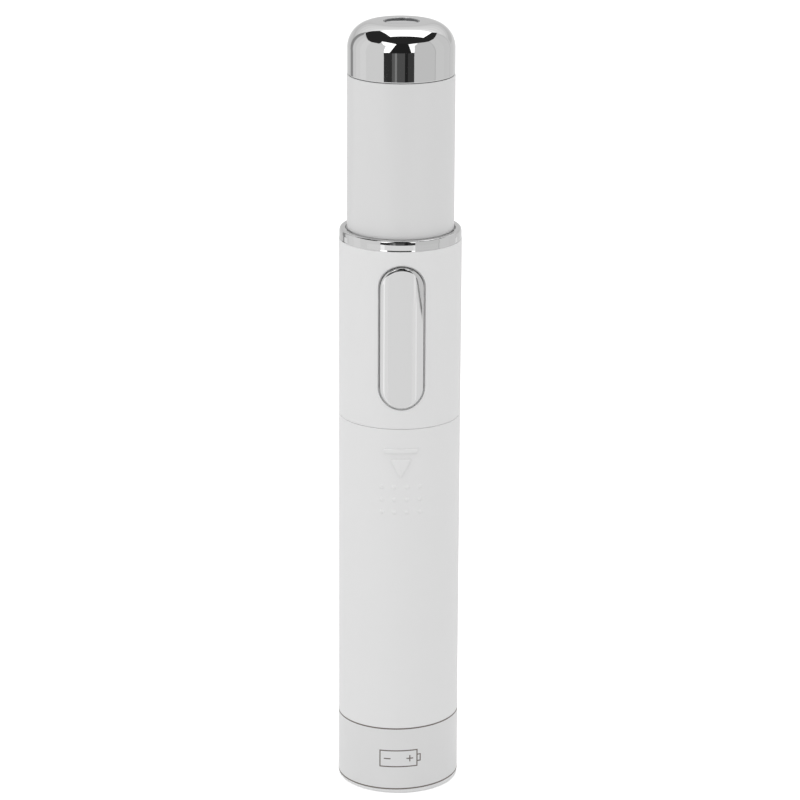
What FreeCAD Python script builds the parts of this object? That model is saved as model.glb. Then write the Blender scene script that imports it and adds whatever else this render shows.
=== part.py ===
"""Heated eye massager wand, as an assembly of separate pieces.

Lengths are in millimetres. The wand stands on its base: +Z runs up its axis to the massage head, the button
faces -Y, and the origin is the centre of the base. Every piece is drawn in its working place.
"""
import FreeCAD, Part
import math
import os
import Sketcher

Vector = FreeCAD.Vector

# Driving dimensions. Heights are measured from the base unless the name says otherwise.
DRIVING = {
    # battery cover: a cup that pulls off downwards
    "body_radius": 10.5,
    "cover_bore": 9.0,
    "cover_floor": 2.0,
    "base_edge": 0.3,
    "seam_height": 67.0,
    "seam_gap": 0.05,
    "edge_break": 0.12,
    "lead_in": 0.3,
    "rib_reach": 7.6,
    "rib_width": 1.0,
    "rib_top": 56.4,
    "strip_width": 3.0,
    "strip_top": 62.8,
    "strip_foot": 4.5,
    "seat_play": 0.2,
    "sheet_metal": 0.3,
    "plate_radius": 5.4,
    "spring_wire": 0.3,
    "spring_foot_radius": 3.9,
    "spring_tip_radius": 2.6,
    "spring_turns": 3.5,
    # battery cell, size AA
    "cell_radius": 7.25,
    "cell_length": 50.5,
    "cell_bottom": 7.55,
    "cell_button_radius": 2.75,
    "cell_button_rise": 1.3,
    "can_roll": 0.5,
    "button_roll": 0.3,
    # upper housing
    "housing_bore": 8.9,
    "ring_bottom": 98.3,
    "ring_top": 100.1,
    "ring_shelf": 0.8,
    "ring_inner": 9.4,
    "ring_rim": 0.2,
    # head sleeve
    "sleeve_radius": 9.15,
    "sleeve_neck": 8.95,
    "sleeve_bore": 7.6,
    "sleeve_spigot": 8.85,
    "sleeve_foot": 93.0,
    "sleeve_top": 126.6,
    "sleeve_tip": 0.2,
    "notch_side": 1.6,
    "notch_head": 1.4,
    # massage head
    "dome_bottom": 126.75,
    "dome_radius": 9.1,
    "dome_apex": 135.55,
    "crown_radius": 300.0,
    "shoulder_radius": 4.4,
    "dome_wall": 1.0,
    "dome_ceiling": 134.3,
    "inner_shoulder": 2.4,
    "dome_spigot": 7.55,
    "spigot_foot": 122.0,
    "spigot_bore": 6.6,
    "dome_ledge": 127.9,
    "skirt_break": 0.25,
    "rim_break": 0.1,
    "recess_radius": 3.05,
    "recess_depth": 0.38,
    # heater, contact and their carrier, stacked under the crown
    "bush_wall": 0.25,
    "bush_flange": 0.45,
    "bush_depth": 0.8,
    "stem_radius": 0.9,
    "stem_length": 4.5,
    "pad_radius": 5.2,
    "pad_thickness": 0.3,
    "heater_radius": 5.6,
    "heater_bore": 3.6,
    "heater_thickness": 1.0,
    "carrier_bore": 1.0,
    "carrier_nose": 3.2,
    "carrier_web": 1.2,
    "carrier_wall": 5.8,
    # button
    "window_width": 8.0,
    "window_length": 25.4,
    "button_middle": 83.2,
    "button_gap": 0.2,
    "button_proud": 0.35,
    "button_back": 7.3,
    "bevel_width": 1.3,
    "bevel_drop": 0.55,
    "button_travel": 0.5,
    "carrier_thickness": 0.8,
    "carrier_side": 0.9,
    "carrier_end": 0.75,
    "cap_wall": 1.2,
    "cap_hollow": 1.8,
    "stake_radius": 0.75,
    "stake_spacing": 13.0,
    # push switch
    "switch_size": 6.0,
    "switch_depth": 3.5,
    "plunger_radius": 1.6,
    "plunger_length": 1.4,
    # chassis
    "plug_radius": 8.93,
    "plug_bottom": 57.6,
    "plug_floor": 60.2,
    "chassis_radius": 8.8,
    "chassis_inner": 6.6,
    "rail_inside": 6.4,
    "window_bottom": 70.2,
    "window_top": 91.0,
    "deck_bottom": 91.8,
    "deck_top": 93.0,
    "motor_tube": 6.2,
    "motor_tube_bore": 5.4,
    "motor_tube_top": 110.0,
    "seal_middle": 64.9,
    "seal_groove": 7.8,
    "seal_height": 1.2,
    "disc_radius": 3.2,
    "disc_room": 0.8,
    # circuit board
    "board_front": 2.0,
    "board_thickness": 1.0,
    "board_width": 13.8,
    "board_length": 21.2,
    # vibration motor
    "motor_radius": 3.5,
    "motor_bottom": 95.0,
    "motor_top": 111.5,
    "shaft_radius": 0.5,
    "shaft_top": 117.3,
    "weight_radius": 3.2,
    "weight_bottom": 112.6,
    "weight_height": 4.0,
    # wires
    "wire_radius": 0.35,
    "wire_sides": 8,
}

MITRED = 1  # how a swept section goes round a corner of its path
SPRING_STEPS = 12  # straight runs in one turn of the coil

doc = FreeCAD.newDocument("EyeMassagerWand")


class Length:
    """A length that knows both its value and the sheet expression that it comes from."""

    def __init__(self, number, text):
        self.number = number
        self.text = text

    @staticmethod
    def of(value):
        """Return value as a Length; a bare number has no cell of its own."""
        return value if isinstance(value, Length) else Length(float(value), repr(float(value)))

    def joined(self, other, sign, number):
        """Return the Length of a sum, difference, product or quotient."""
        return Length(number, f"({self.text} {sign} {other.text})")

    def __add__(self, other):
        other = Length.of(other)
        return self.joined(other, "+", self.number + other.number)

    def __sub__(self, other):
        other = Length.of(other)
        return self.joined(other, "-", self.number - other.number)

    def __mul__(self, other):
        other = Length.of(other)
        return self.joined(other, "*", self.number * other.number)

    def __truediv__(self, other):
        other = Length.of(other)
        return self.joined(other, "/", self.number / other.number)

    def __radd__(self, other):
        return Length.of(other) + self

    def __rsub__(self, other):
        return Length.of(other) - self

    def __rmul__(self, other):
        return Length.of(other) * self

    def __neg__(self):
        return Length(-self.number, f"(-{self.text})")

    def root(self):
        """Return the square root."""
        return Length(math.sqrt(self.number), f"sqrt({self.text})")


class Sizes:
    """The driving dimensions, kept in the document's spreadsheet."""

    def __init__(self, driving):
        self.sheet = doc.addObject("Spreadsheet::Sheet", "Sizes")
        for row, (alias, value) in enumerate(driving.items(), start=1):
            self.sheet.set(f"A{row}", alias)
            self.sheet.set(f"B{row}", str(value))
            self.sheet.setAlias(f"B{row}", alias)
        doc.recompute()

    def __getattr__(self, alias):
        return Length(float(getattr(self.sheet, alias)), f"Sizes.{alias}")


size = Sizes(DRIVING)


def bind(thing, name, length):
    """Tie one property of an object to the sheet."""
    thing.setExpression(name, Length.of(length).text)


# ---- sketches and features ---------------------------------------------------------------------------


def new_body(name):
    """Start a sub-part whose name is its node's name."""
    body = doc.addObject("PartDesign::Body", name)
    body.Label = name
    return body


def start_sketch(body, name, plane, offset=0):
    """Attach an empty sketch to one of the body's own origin planes, offset along the plane's normal."""
    sketch = body.newObject("Sketcher::SketchObject", name)
    support = next(datum for datum in body.Origin.OriginFeatures if datum.Role == plane)
    sketch.AttachmentSupport = [(support, "")]
    sketch.MapMode = "FlatFace"
    bind(sketch, "AttachmentOffset.Base.z", offset)
    return sketch


def place_point(sketch, side, end, across, along):
    """Tie an end or the centre of a sketch side to lengths from the origin; None leaves one free."""
    for kind, axis, length in (("DistanceX", -2, across), ("DistanceY", -1, along)):
        if length is None:
            continue
        length = Length.of(length)
        if length.number == 0:
            sketch.addConstraint(Sketcher.Constraint("PointOnObject", side, end, axis))
        else:
            number = sketch.addConstraint(Sketcher.Constraint(kind, -1, 1, side, end, length.number))
            bind(sketch, f"Constraints[{number}]", length)


def arc_between(start, end, centre):
    """Return the arc between two points about a partly known centre, and whether it runs backwards."""
    (x1, y1), (x2, y2) = start, end
    square = (x1 * x1 + y1 * y1 - x2 * x2 - y2 * y2) / 2
    known_x, known_y = centre
    if known_x is not None:
        x = Length.of(known_x).number
        y = (square - x * (x1 - x2)) / (y1 - y2)
    else:
        y = Length.of(known_y).number
        x = (square - y * (y1 - y2)) / (x1 - x2)
    first = math.atan2(y1 - y, x1 - x)
    last = math.atan2(y2 - y, x2 - x)
    backwards = (last - first) % (2 * math.pi) > math.pi + 1e-6
    if backwards:
        first, last = last, first
    circle = Part.Circle(Vector(x, y, 0), Vector(0, 0, 1), math.hypot(x1 - x, y1 - y))
    return Part.ArcOfCircle(circle, first, last), backwards


def draw_loop(sketch, corners, arcs=None):
    """Draw a closed outline through the corners.

    arcs maps the number of a side to its centre, a pair with None for the direction that follows from the
    two corners. The other sides are straight.
    """
    arcs = arcs or {}
    points = [(Length.of(across).number, Length.of(along).number) for across, along in corners]
    count = len(corners)
    ends = []
    for number in range(count):
        start, end = points[number], points[(number + 1) % count]
        if number in arcs:
            shape, backwards = arc_between(start, end, arcs[number])
        else:
            shape, backwards = Part.LineSegment(Vector(*start, 0), Vector(*end, 0)), False
        side = sketch.addGeometry(shape, False)
        ends.append((side, 2, 1) if backwards else (side, 1, 2))
    for number in range(count):
        side, first, last = ends[number]
        following, next_first, _ = ends[(number + 1) % count]
        sketch.addConstraint(Sketcher.Constraint("Coincident", side, last, following, next_first))
        place_point(sketch, side, first, *corners[number])
        if number in arcs:
            place_point(sketch, side, 3, *arcs[number])


def draw_circle(sketch, across, along, radius):
    """Draw a full circle."""
    radius = Length.of(radius)
    centre = Vector(Length.of(across).number, Length.of(along).number, 0)
    side = sketch.addGeometry(Part.Circle(centre, Vector(0, 0, 1), radius.number), False)
    place_point(sketch, side, 3, across, along)
    number = sketch.addConstraint(Sketcher.Constraint("Radius", side, radius.number))
    bind(sketch, f"Constraints[{number}]", radius)


def rectangle(low_across, high_across, low_along, high_along):
    """Return the four corners of a rectangle."""
    return [
        (low_across, low_along),
        (high_across, low_along),
        (high_across, high_along),
        (low_across, high_along),
    ]


def oblong(width, length, middle):
    """Return the corners and arcs of an upright outline with full-round ends."""
    half = Length.of(width) / 2
    reach = (length - width) / 2
    low, high = middle - reach, middle + reach
    corners = [(half, low), (half, high), (-half, high), (-half, low)]
    return corners, {1: (None, high), 3: (None, low)}


def turn(body, corners, arcs=None):
    """Revolve a half profile of (radius, height) corners about the wand's axis."""
    sketch = start_sketch(body, f"{body.Name}_profile", "XZ_Plane")
    draw_loop(sketch, corners, arcs)
    feature = body.newObject("PartDesign::Revolution", f"{body.Name}_turned")
    feature.Profile = sketch
    feature.ReferenceAxis = (sketch, ["V_Axis"])
    feature.Angle = 360
    return feature


def pad(body, sketch, length, both_ways=False):
    """Pad a sketch along its normal, or evenly to both sides of it."""
    feature = body.newObject("PartDesign::Pad", f"{sketch.Name}_pad")
    feature.Profile = sketch
    bind(feature, "Length", length)
    if both_ways:
        feature.SideType = "Symmetric"
    return feature


def pocket(body, sketch, depth=None, along_normal=False):
    """Cut a sketch into the body, to a depth or all the way, and make sure that it removes material."""
    doc.recompute()
    before = body.Shape.Volume
    feature = body.newObject("PartDesign::Pocket", f"{sketch.Name}_pocket")
    feature.Profile = sketch
    feature.Reversed = along_normal
    if depth is None:
        feature.Type = "ThroughAll"
    else:
        bind(feature, "Length", depth)
    doc.recompute()
    if not feature.Shape.Volume < before - 1e-6:
        raise RuntimeError(f"{feature.Name} cuts nothing")
    return feature


def is_level_circle(edge, radius, height):
    """Whether an edge is a circle about the wand's axis at a height."""
    curve = edge.Curve
    if not isinstance(curve, Part.Circle):
        return False
    centre = curve.Center
    off_axis = math.hypot(centre.x, centre.y)
    return off_axis < 1e-4 and abs(centre.z - height) < 1e-3 and abs(curve.Radius - radius) < 1e-3


def edge_names(feature, test):
    """Name the edges of a feature that pass a test."""
    names = [f"Edge{number}" for number, edge in enumerate(feature.Shape.Edges, start=1) if test(edge)]
    if not names:
        raise RuntimeError(f"{feature.Name} has no such edge")
    return names


def chamfer(body, name, test, amount):
    """Chamfer the edges of the body's last feature that pass a test."""
    doc.recompute()
    base = body.Tip
    feature = body.newObject("PartDesign::Chamfer", f"{body.Name}_{name}")
    feature.Base = (base, edge_names(base, test))
    bind(feature, "Size", amount)
    doc.recompute()
    return feature


def break_edge(body, name, radius, height, amount):
    """Chamfer one level circular edge."""
    across, along = Length.of(radius).number, Length.of(height).number
    return chamfer(body, name, lambda edge: is_level_circle(edge, across, along), amount)


# ---- primitives --------------------------------------------------------------------------------------


def rod(name, radius, bottom, top, across=0, forward=0):
    """Upright round rod."""
    part = doc.addObject("Part::Cylinder", name)
    bind(part, "Radius", radius)
    bind(part, "Height", top - bottom)
    bind(part, "Placement.Base.x", across)
    bind(part, "Placement.Base.y", forward)
    bind(part, "Placement.Base.z", bottom)
    return part


def front_rod(name, radius, back, length, height):
    """Round rod that points to the front, from a plane at y = -back."""
    part = doc.addObject("Part::Cylinder", name)
    bind(part, "Radius", radius)
    bind(part, "Height", length)
    part.Placement.Rotation = FreeCAD.Rotation(Vector(1, 0, 0), 90)
    bind(part, "Placement.Base.y", -Length.of(back))
    bind(part, "Placement.Base.z", height)
    return part


def block(name, low, high):
    """Box between two corners."""
    part = doc.addObject("Part::Box", name)
    for side, axis, start, end in zip(("Length", "Width", "Height"), "xyz", low, high):
        bind(part, side, end - Length.of(start))
        bind(part, f"Placement.Base.{axis}", start)
    return part


def combine(kind, name, first, second):
    """Cut or fuse two parts into one."""
    part = doc.addObject(f"Part::{kind}", name)
    part.Base = first
    part.Tool = second
    return part


def gather(name, parts):
    """Keep several separate solids in one node."""
    group = doc.addObject("Part::Compound", name)
    group.Links = parts
    return group


def eased_route(points):
    """Cut each corner of a route twice, along the tangent arc that its two runs allow."""
    eased = [points[0]]
    for before, corner, after in zip(points, points[1:], points[2:]):
        arriving = (corner - before).normalize()
        leaving = (after - corner).normalize()
        set_back = 0.45 * min((corner - before).Length, (after - corner).Length)
        half_bend = arriving.getAngle(leaving) / 2
        reach = set_back * (1 - math.tan(half_bend / 2) / math.tan(half_bend))
        eased += [corner - arriving * reach, corner + leaving * reach]
    return eased + [points[-1]]


def wire_tube(points, radius):
    """Closed tube of an eight-sided section along straight runs, mitred where they meet."""
    sides = round(size.wire_sides.number)
    path = Part.makePolygon(points)
    along = (points[1] - points[0]).normalize()
    across = along.cross(Vector(0, 0, 1) if abs(along.z) < 0.9 else Vector(1, 0, 0)).normalize()
    spokes = [FreeCAD.Rotation(along, 360 * number / sides).multVec(across) for number in range(sides)]
    corners = [points[0] + spoke * radius for spoke in spokes]
    tube = path.makePipeShell([Part.makePolygon(corners + corners[:1])], True, False, MITRED)
    section = sides / 2 * radius * radius * math.sin(2 * math.pi / sides)
    if abs(tube.Volume - section * path.Length) > 0.01 * tube.Volume:
        raise RuntimeError(f"a tube of {tube.Volume} mm3 should have {section * path.Length}")
    return tube


def wires(name, routes):
    """Insulated wires, one along each route."""
    radius = size.wire_radius.number
    part = doc.addObject("Part::Feature", name)
    tubes = [wire_tube(eased_route([Vector(*point) for point in route]), radius) for route in routes]
    part.Shape = Part.makeCompound(tubes)
    return part


def mirrored_route(route):
    """The same route on the other side of the wand."""
    return [(-across, forward, height) for across, forward, height in route]


# ---- battery cover and what it carries ---------------------------------------------------------------


def battery_cover():
    """Long cup with ribs that centre the cell and a flat seat for the contact strip."""
    body = new_body("battery_cover")
    mouth = size.seam_height
    turn(body, [
        (0, 0),
        (size.body_radius, 0),
        (size.body_radius, mouth),
        (size.cover_bore, mouth),
        (size.cover_bore, size.cover_floor),
        (0, size.cover_floor),
    ])
    break_edge(body, "base", size.body_radius, 0, size.base_edge)
    break_edge(body, "mouth", size.body_radius, mouth, size.edge_break)
    break_edge(body, "lead_in", size.cover_bore, mouth, size.lead_in)
    cell_ribs(body)
    top = size.strip_top + 2 * size.seat_play
    seat = start_sketch(body, "strip_seat", "XY_Plane", top)
    half = size.strip_width / 2 + size.seat_play
    draw_loop(seat, rectangle(-half, half, size.strip_foot + 0.5, size.cover_bore))
    pocket(body, seat, top - size.cover_floor)
    return body


def cell_ribs(body):
    """Six ribs round the bore, none of them in line with the contact strip."""
    sketch = start_sketch(body, "cell_rib", "XY_Plane", size.cover_floor)
    half = size.rib_width / 2
    draw_loop(sketch, rectangle(size.rib_reach, size.cover_bore + 0.3, -half, half))
    rib = pad(body, sketch, size.rib_top - size.cover_floor)
    doc.recompute()
    ring = body.newObject("PartDesign::PolarPattern", "cell_ribs")
    ring.Originals = [rib]
    ring.Axis = (sketch, ["N_Axis"])
    ring.Angle = 360
    ring.Occurrences = 6
    body.Tip = ring
    doc.recompute()


def spring_plate():
    """Thin plate on the cover's floor, under the spring."""
    return rod("spring_plate", size.plate_radius, size.cover_floor, size.cover_floor + size.sheet_metal)


def contact_strip():
    """Bent strip from the spring plate up the bore to the plug."""
    body = new_body("contact_strip")
    low = size.cover_floor + size.sheet_metal
    inside = size.cover_bore - size.sheet_metal
    sketch = start_sketch(body, "strip_side", "YZ_Plane")
    draw_loop(sketch, [
        (size.strip_foot, low),
        (size.cover_bore, low),
        (size.cover_bore, size.strip_top),
        (inside, size.strip_top),
        (inside, low + size.sheet_metal),
        (size.strip_foot, low + size.sheet_metal),
    ])
    pad(body, sketch, size.strip_width, both_ways=True)
    return body


def negative_spring():
    """Conical coil spring, drawn pressed down by the cell."""
    wire = size.spring_wire.number
    low = (size.cover_floor + size.sheet_metal).number + wire
    high = size.cell_bottom.number - 0.1 - wire
    wide, narrow = size.spring_foot_radius.number, size.spring_tip_radius.number
    steps = round(size.spring_turns.number * SPRING_STEPS)
    points = []
    for step in range(steps + 1):
        share = step / steps
        radius = wide + (narrow - wide) * share
        angle = 2 * math.pi * step / SPRING_STEPS
        height = low + (high - low) * share
        points.append(Vector(radius * math.cos(angle), radius * math.sin(angle), height))
    spring = doc.addObject("Part::Feature", "negative_spring")
    spring.Shape = wire_tube(points, wire)
    return spring


# ---- battery cell ------------------------------------------------------------------------------------


def cell_can():
    """Steel can of the AA cell, with rolled edges."""
    body = new_body("cell_can")
    shoulder = size.cell_bottom + size.cell_length - size.cell_button_rise
    turn(body, rectangle(0, size.cell_radius, size.cell_bottom, shoulder))
    break_edge(body, "foot", size.cell_radius, size.cell_bottom, size.can_roll)
    break_edge(body, "shoulder", size.cell_radius, shoulder, size.can_roll)
    return body


def cell_button():
    """Positive button of the cell."""
    body = new_body("cell_button")
    top = size.cell_bottom + size.cell_length
    turn(body, rectangle(0, size.cell_button_radius, top - size.cell_button_rise, top))
    break_edge(body, "tip", size.cell_button_radius, top, size.button_roll)
    return body


# ---- housing, collar, sleeve and head ----------------------------------------------------------------


def upper_housing():
    """White tube with the button's oblong window."""
    body = new_body("upper_housing")
    bottom = size.seam_height + size.seam_gap
    turn(body, rectangle(size.housing_bore, size.body_radius, bottom, size.ring_bottom))
    break_edge(body, "seam", size.body_radius, bottom, size.edge_break)
    window = start_sketch(body, "button_window", "XZ_Plane")
    draw_loop(window, *oblong(size.window_width, size.window_length, size.button_middle))
    pocket(body, window, along_normal=True)
    return body


def collar_ring():
    """Chrome ring, clamped between the housing and the sleeve's shoulder."""
    body = new_body("collar_ring")
    shelf = size.ring_bottom + size.ring_shelf
    turn(body, [
        (size.housing_bore, size.ring_bottom),
        (size.body_radius, size.ring_bottom),
        (size.body_radius, size.ring_top),
        (size.ring_inner, size.ring_top),
        (size.ring_inner, shelf),
        (size.housing_bore, shelf),
    ])
    break_edge(body, "rim", size.body_radius, size.ring_top, size.ring_rim)
    return body


def head_sleeve():
    """White sleeve with a neck inside the ring, a spigot in the housing and a notch behind the button."""
    body = new_body("head_sleeve")
    shelf = size.ring_bottom + size.ring_shelf
    turn(body, [
        (size.sleeve_bore, size.sleeve_foot),
        (size.sleeve_spigot, size.sleeve_foot),
        (size.sleeve_spigot, shelf),
        (size.sleeve_neck, shelf),
        (size.sleeve_neck, size.ring_top),
        (size.sleeve_radius, size.ring_top),
        (size.sleeve_radius, size.sleeve_top),
        (size.sleeve_bore, size.sleeve_top),
    ])
    break_edge(body, "tip", size.sleeve_radius, size.sleeve_top, size.sleeve_tip)
    notch = start_sketch(body, "button_notch", "XZ_Plane")
    top = size.button_middle + size.window_length / 2 + size.notch_head
    half = size.window_width / 2 + size.notch_side
    draw_loop(notch, rectangle(-half, half, size.sleeve_foot - 1, top))
    pocket(body, notch, along_normal=True)
    return body


def crown_height(radius):
    """Height of the crown's round surface at a distance from the axis."""
    crown = size.crown_radius
    return size.dome_apex - crown + (crown * crown - radius * radius).root()


def massage_head():
    """Chromed dome: upright wall, round shoulder and nearly flat crown, with a hole for the contact."""
    body = new_body("massage_head")
    inner = size.dome_radius - size.dome_wall
    flat = inner - size.inner_shoulder
    # the shoulder's arc touches the wall and the crown
    shoulder_axis = size.dome_radius - size.shoulder_radius
    apart = size.crown_radius - size.shoulder_radius
    crown_middle = size.dome_apex - size.crown_radius
    shoulder_rise = (apart * apart - shoulder_axis * shoulder_axis).root()
    stretch = size.crown_radius / apart
    turn(body, [
        (size.spigot_bore, size.spigot_foot),
        (size.dome_spigot, size.spigot_foot),
        (size.dome_spigot, size.dome_bottom),
        (size.dome_radius, size.dome_bottom),
        (size.dome_radius, crown_middle + shoulder_rise),
        (shoulder_axis * stretch, crown_middle + shoulder_rise * stretch),
        (size.recess_radius, crown_height(size.recess_radius)),
        (size.recess_radius, size.dome_ceiling),
        (flat, size.dome_ceiling),
        (inner, size.dome_ceiling - size.inner_shoulder),
        (inner, size.dome_ledge),
        (size.spigot_bore, size.dome_ledge),
    ], {4: (shoulder_axis, None), 5: (0, None)})
    break_edge(body, "skirt", size.dome_radius, size.dome_bottom, size.skirt_break)
    break_edge(body, "rim", size.recess_radius, crown_height(size.recess_radius), size.rim_break)
    return body


def head_seal():
    """Thin gasket in the joint between the sleeve and the head."""
    outer = rod("head_seal_disc", size.sleeve_radius - 0.2, size.sleeve_top, size.dome_bottom)
    inner = rod("head_seal_hole", size.sleeve_bore + 0.05, size.sleeve_top, size.dome_bottom)
    return combine("Cut", "head_seal", outer, inner)


def contact_top():
    """Height of the floor of the crown's recess."""
    return crown_height(size.recess_radius) - size.recess_depth


def electrode_insulator():
    """Flanged bush that keeps the centre contact apart from the dome."""
    body = new_body("electrode_insulator")
    inside = size.recess_radius - size.bush_wall
    wall = size.recess_radius - 0.02
    flange = size.recess_radius + size.bush_flange
    under = size.dome_ceiling - size.bush_depth
    turn(body, [
        (inside, under),
        (flange, under),
        (flange, size.dome_ceiling),
        (wall, size.dome_ceiling),
        (wall, contact_top()),
        (inside, contact_top()),
    ])
    return body


def center_electrode():
    """Round contact at the bottom of the recess, with a stem for its wire."""
    body = new_body("center_electrode")
    head = size.recess_radius - size.bush_wall
    under = size.dome_ceiling - size.bush_depth
    foot = under - size.stem_length
    turn(body, [
        (0, foot),
        (size.stem_radius, foot),
        (size.stem_radius, under),
        (head, under),
        (head, contact_top()),
        (0, contact_top()),
    ])
    break_edge(body, "face", head, contact_top(), size.rim_break)
    return body


def thermal_pad():
    """Soft pad that carries heat from the heater to the dome."""
    bottom = size.dome_ceiling - size.pad_thickness
    outer = rod("thermal_pad_disc", size.pad_radius, bottom, size.dome_ceiling)
    inner = rod("thermal_pad_hole", size.heater_bore, bottom, size.dome_ceiling)
    return combine("Cut", "thermal_pad", outer, inner)


def heater_bottom():
    """Height of the heating ring's lower face, where its carrier bears."""
    return size.dome_ceiling - size.pad_thickness - size.heater_thickness


def heater_ring():
    """Ceramic heating ring."""
    top = size.dome_ceiling - size.pad_thickness
    outer = rod("heater_disc", size.heater_radius, heater_bottom(), top)
    inner = rod("heater_hole", size.heater_bore, heater_bottom(), top)
    return combine("Cut", "heater_ring", outer, inner)


def heater_carrier():
    """Cup that presses the heater and the contact up into the dome, with a slot for the heater's wires."""
    body = new_body("heater_carrier")
    skirt = size.dome_spigot - 1.0
    top = heater_bottom()
    web = top - size.carrier_web
    nose = size.dome_ceiling - size.bush_depth
    turn(body, [
        (size.carrier_bore, web),
        (size.carrier_wall, web),
        (size.carrier_wall, size.spigot_foot),
        (skirt, size.spigot_foot),
        (skirt, top),
        (size.carrier_nose, top),
        (size.carrier_nose, nose),
        (size.carrier_bore, nose),
    ])
    slot = start_sketch(body, "heater_wire_slot", "XY_Plane", top + 0.1)
    draw_loop(slot, rectangle(-2.0, 2.0, 4.1, 5.4))
    pocket(body, slot, size.carrier_web + 0.4)
    return body


# ---- button ------------------------------------------------------------------------------------------


def button_cap():
    """Long chromed button: follows the body's curve, stands a little proud, and has pillowed edges."""
    body = new_body("button_cap")
    width = size.window_width - 2 * size.button_gap
    length = size.window_length - 2 * size.button_gap
    outer = size.body_radius + size.button_proud
    outline = start_sketch(body, "cap_outline", "XZ_Plane", size.button_back)
    draw_loop(outline, *oblong(width, length, size.button_middle))
    pad(body, outline, outer - size.button_back + 0.5)
    face = start_sketch(body, "cap_face", "XY_Plane", size.button_middle - 20)
    half = size.window_width
    depth = (outer * outer - half * half).root()
    beyond = outer + 2
    draw_loop(face, [(-half, -depth), (half, -depth), (half, -beyond), (-half, -beyond)], {0: (None, 0)})
    pocket(body, face, along_normal=True)
    bevel = chamfer(body, "bevel", lambda edge: on_radius(edge, outer.number), size.bevel_drop)
    bevel.ChamferType = "Two distances"
    bind(bevel, "Size2", size.bevel_width)
    hollow = start_sketch(body, "cap_hollow", "XZ_Plane", size.button_back)
    draw_loop(hollow, *oblong(width - 2 * size.cap_wall, length - 2 * size.cap_wall, size.button_middle))
    pocket(body, hollow, size.cap_hollow, along_normal=True)
    root = size.cap_hollow + 0.2
    stakes = start_sketch(body, "cap_stakes", "XZ_Plane", size.button_back + root)
    for height in stake_heights():
        draw_circle(stakes, 0, height, size.stake_radius)
    stake_pad = pad(body, stakes, root + size.carrier_thickness + 0.2)
    stake_pad.Reversed = True
    return body


def stake_heights():
    """Heights of the button's two stakes."""
    return [size.button_middle + side * size.stake_spacing / 2 for side in (-1, 1)]


def on_radius(edge, radius):
    """Whether every point of an edge is at one distance from the wand's axis."""
    return all(abs(math.hypot(point.x, point.y) - radius) < 1e-3 for point in edge.discretize(7))


def button_carrier():
    """Plate that the button is staked to, too wide for the window."""
    body = new_body("button_carrier")
    width = size.window_width + 2 * size.carrier_side
    length = size.window_length + 2 * size.carrier_end
    plate = start_sketch(body, "carrier_plate", "XZ_Plane", size.button_back - size.carrier_thickness)
    draw_loop(plate, *oblong(width, length, size.button_middle))
    for height in stake_heights():
        draw_circle(plate, 0, height, size.stake_radius + 0.05)
    pad(body, plate, size.carrier_thickness)
    return body


def switch_body():
    """Push switch on the board, with the plunger's bore."""
    front = size.board_front + size.switch_depth
    middle = size.button_middle
    half = size.switch_size / 2
    case = block("switch_case", (-half, -front, middle - half), (half, -size.board_front, middle + half))
    bore = front_rod("switch_bore", size.plunger_radius + 0.05, front - 1.1, 2.0, middle)
    return combine("Cut", "switch_body", case, bore)


def switch_plunger():
    """Plunger between the switch and the button's carrier."""
    back = size.button_back - size.carrier_thickness
    length = size.plunger_length
    return front_rod("switch_plunger", size.plunger_radius, back - length, length, size.button_middle)


# ---- chassis and electronics -------------------------------------------------------------------------


def chassis():
    """Inner frame: a plug for the battery cover, two rails for the board and a tube for the motor."""
    body = new_body("chassis")
    half_groove = size.seal_height / 2 + 0.1
    seal_low = size.seal_middle - half_groove
    seal_high = size.seal_middle + half_groove
    groove = size.seal_groove
    disc_seat = size.plug_bottom + size.disc_room
    seat_radius = size.disc_radius + 0.2
    rivet_hole = 0.85
    shoulder = size.seam_height + size.seam_gap
    turn(body, [
        (rivet_hole, disc_seat),
        (seat_radius, disc_seat),
        (seat_radius, size.plug_bottom),
        (size.plug_radius, size.plug_bottom),
        (size.plug_radius, seal_low),
        (groove, seal_low),
        (groove, seal_high),
        (size.plug_radius, seal_high),
        (size.plug_radius, shoulder),
        (size.chassis_radius, shoulder),
        (size.chassis_radius, size.deck_top),
        (size.motor_tube, size.deck_top),
        (size.motor_tube, size.motor_tube_top),
        (size.motor_tube_bore, size.motor_tube_top),
        (size.motor_tube_bore, size.deck_top),
        (3.0, size.deck_top),
        (3.0, size.deck_bottom),
        (size.chassis_inner, size.deck_bottom),
        (size.chassis_inner, size.plug_floor),
        (rivet_hole, size.plug_floor),
    ])
    break_edge(body, "plug_lead_in", size.plug_radius, size.plug_bottom, 0.5)
    windows = start_sketch(body, "board_windows", "XZ_Plane", -20)
    draw_loop(windows, rectangle(-size.rail_inside, size.rail_inside, size.window_bottom, size.window_top))
    pocket(body, windows, along_normal=True)
    button_room(body)
    board_groove(body)
    contact_slots(body)
    wire_notch(body)
    return body


def button_room(body):
    """Clear the front for the button's carrier and its travel."""
    depth = size.button_back - size.carrier_thickness - size.button_travel - 0.2
    room = start_sketch(body, "button_room", "XZ_Plane", depth)
    half = size.window_width / 2 + 1.3
    reach = size.window_length / 2 + 1.2
    draw_loop(room, rectangle(-half, half, size.button_middle - reach, size.button_middle + reach))
    pocket(body, room, along_normal=True)


def board_groove(body):
    """Grooves in the rails that hold the board's edges."""
    groove = start_sketch(body, "board_groove", "XY_Plane", size.deck_bottom)
    half = size.board_width / 2 + 0.1
    back = size.board_front - size.board_thickness
    draw_loop(groove, rectangle(-half, half, -size.board_front - 0.05, -back + 0.05))
    pocket(body, groove, size.deck_bottom - size.window_bottom)


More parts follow.
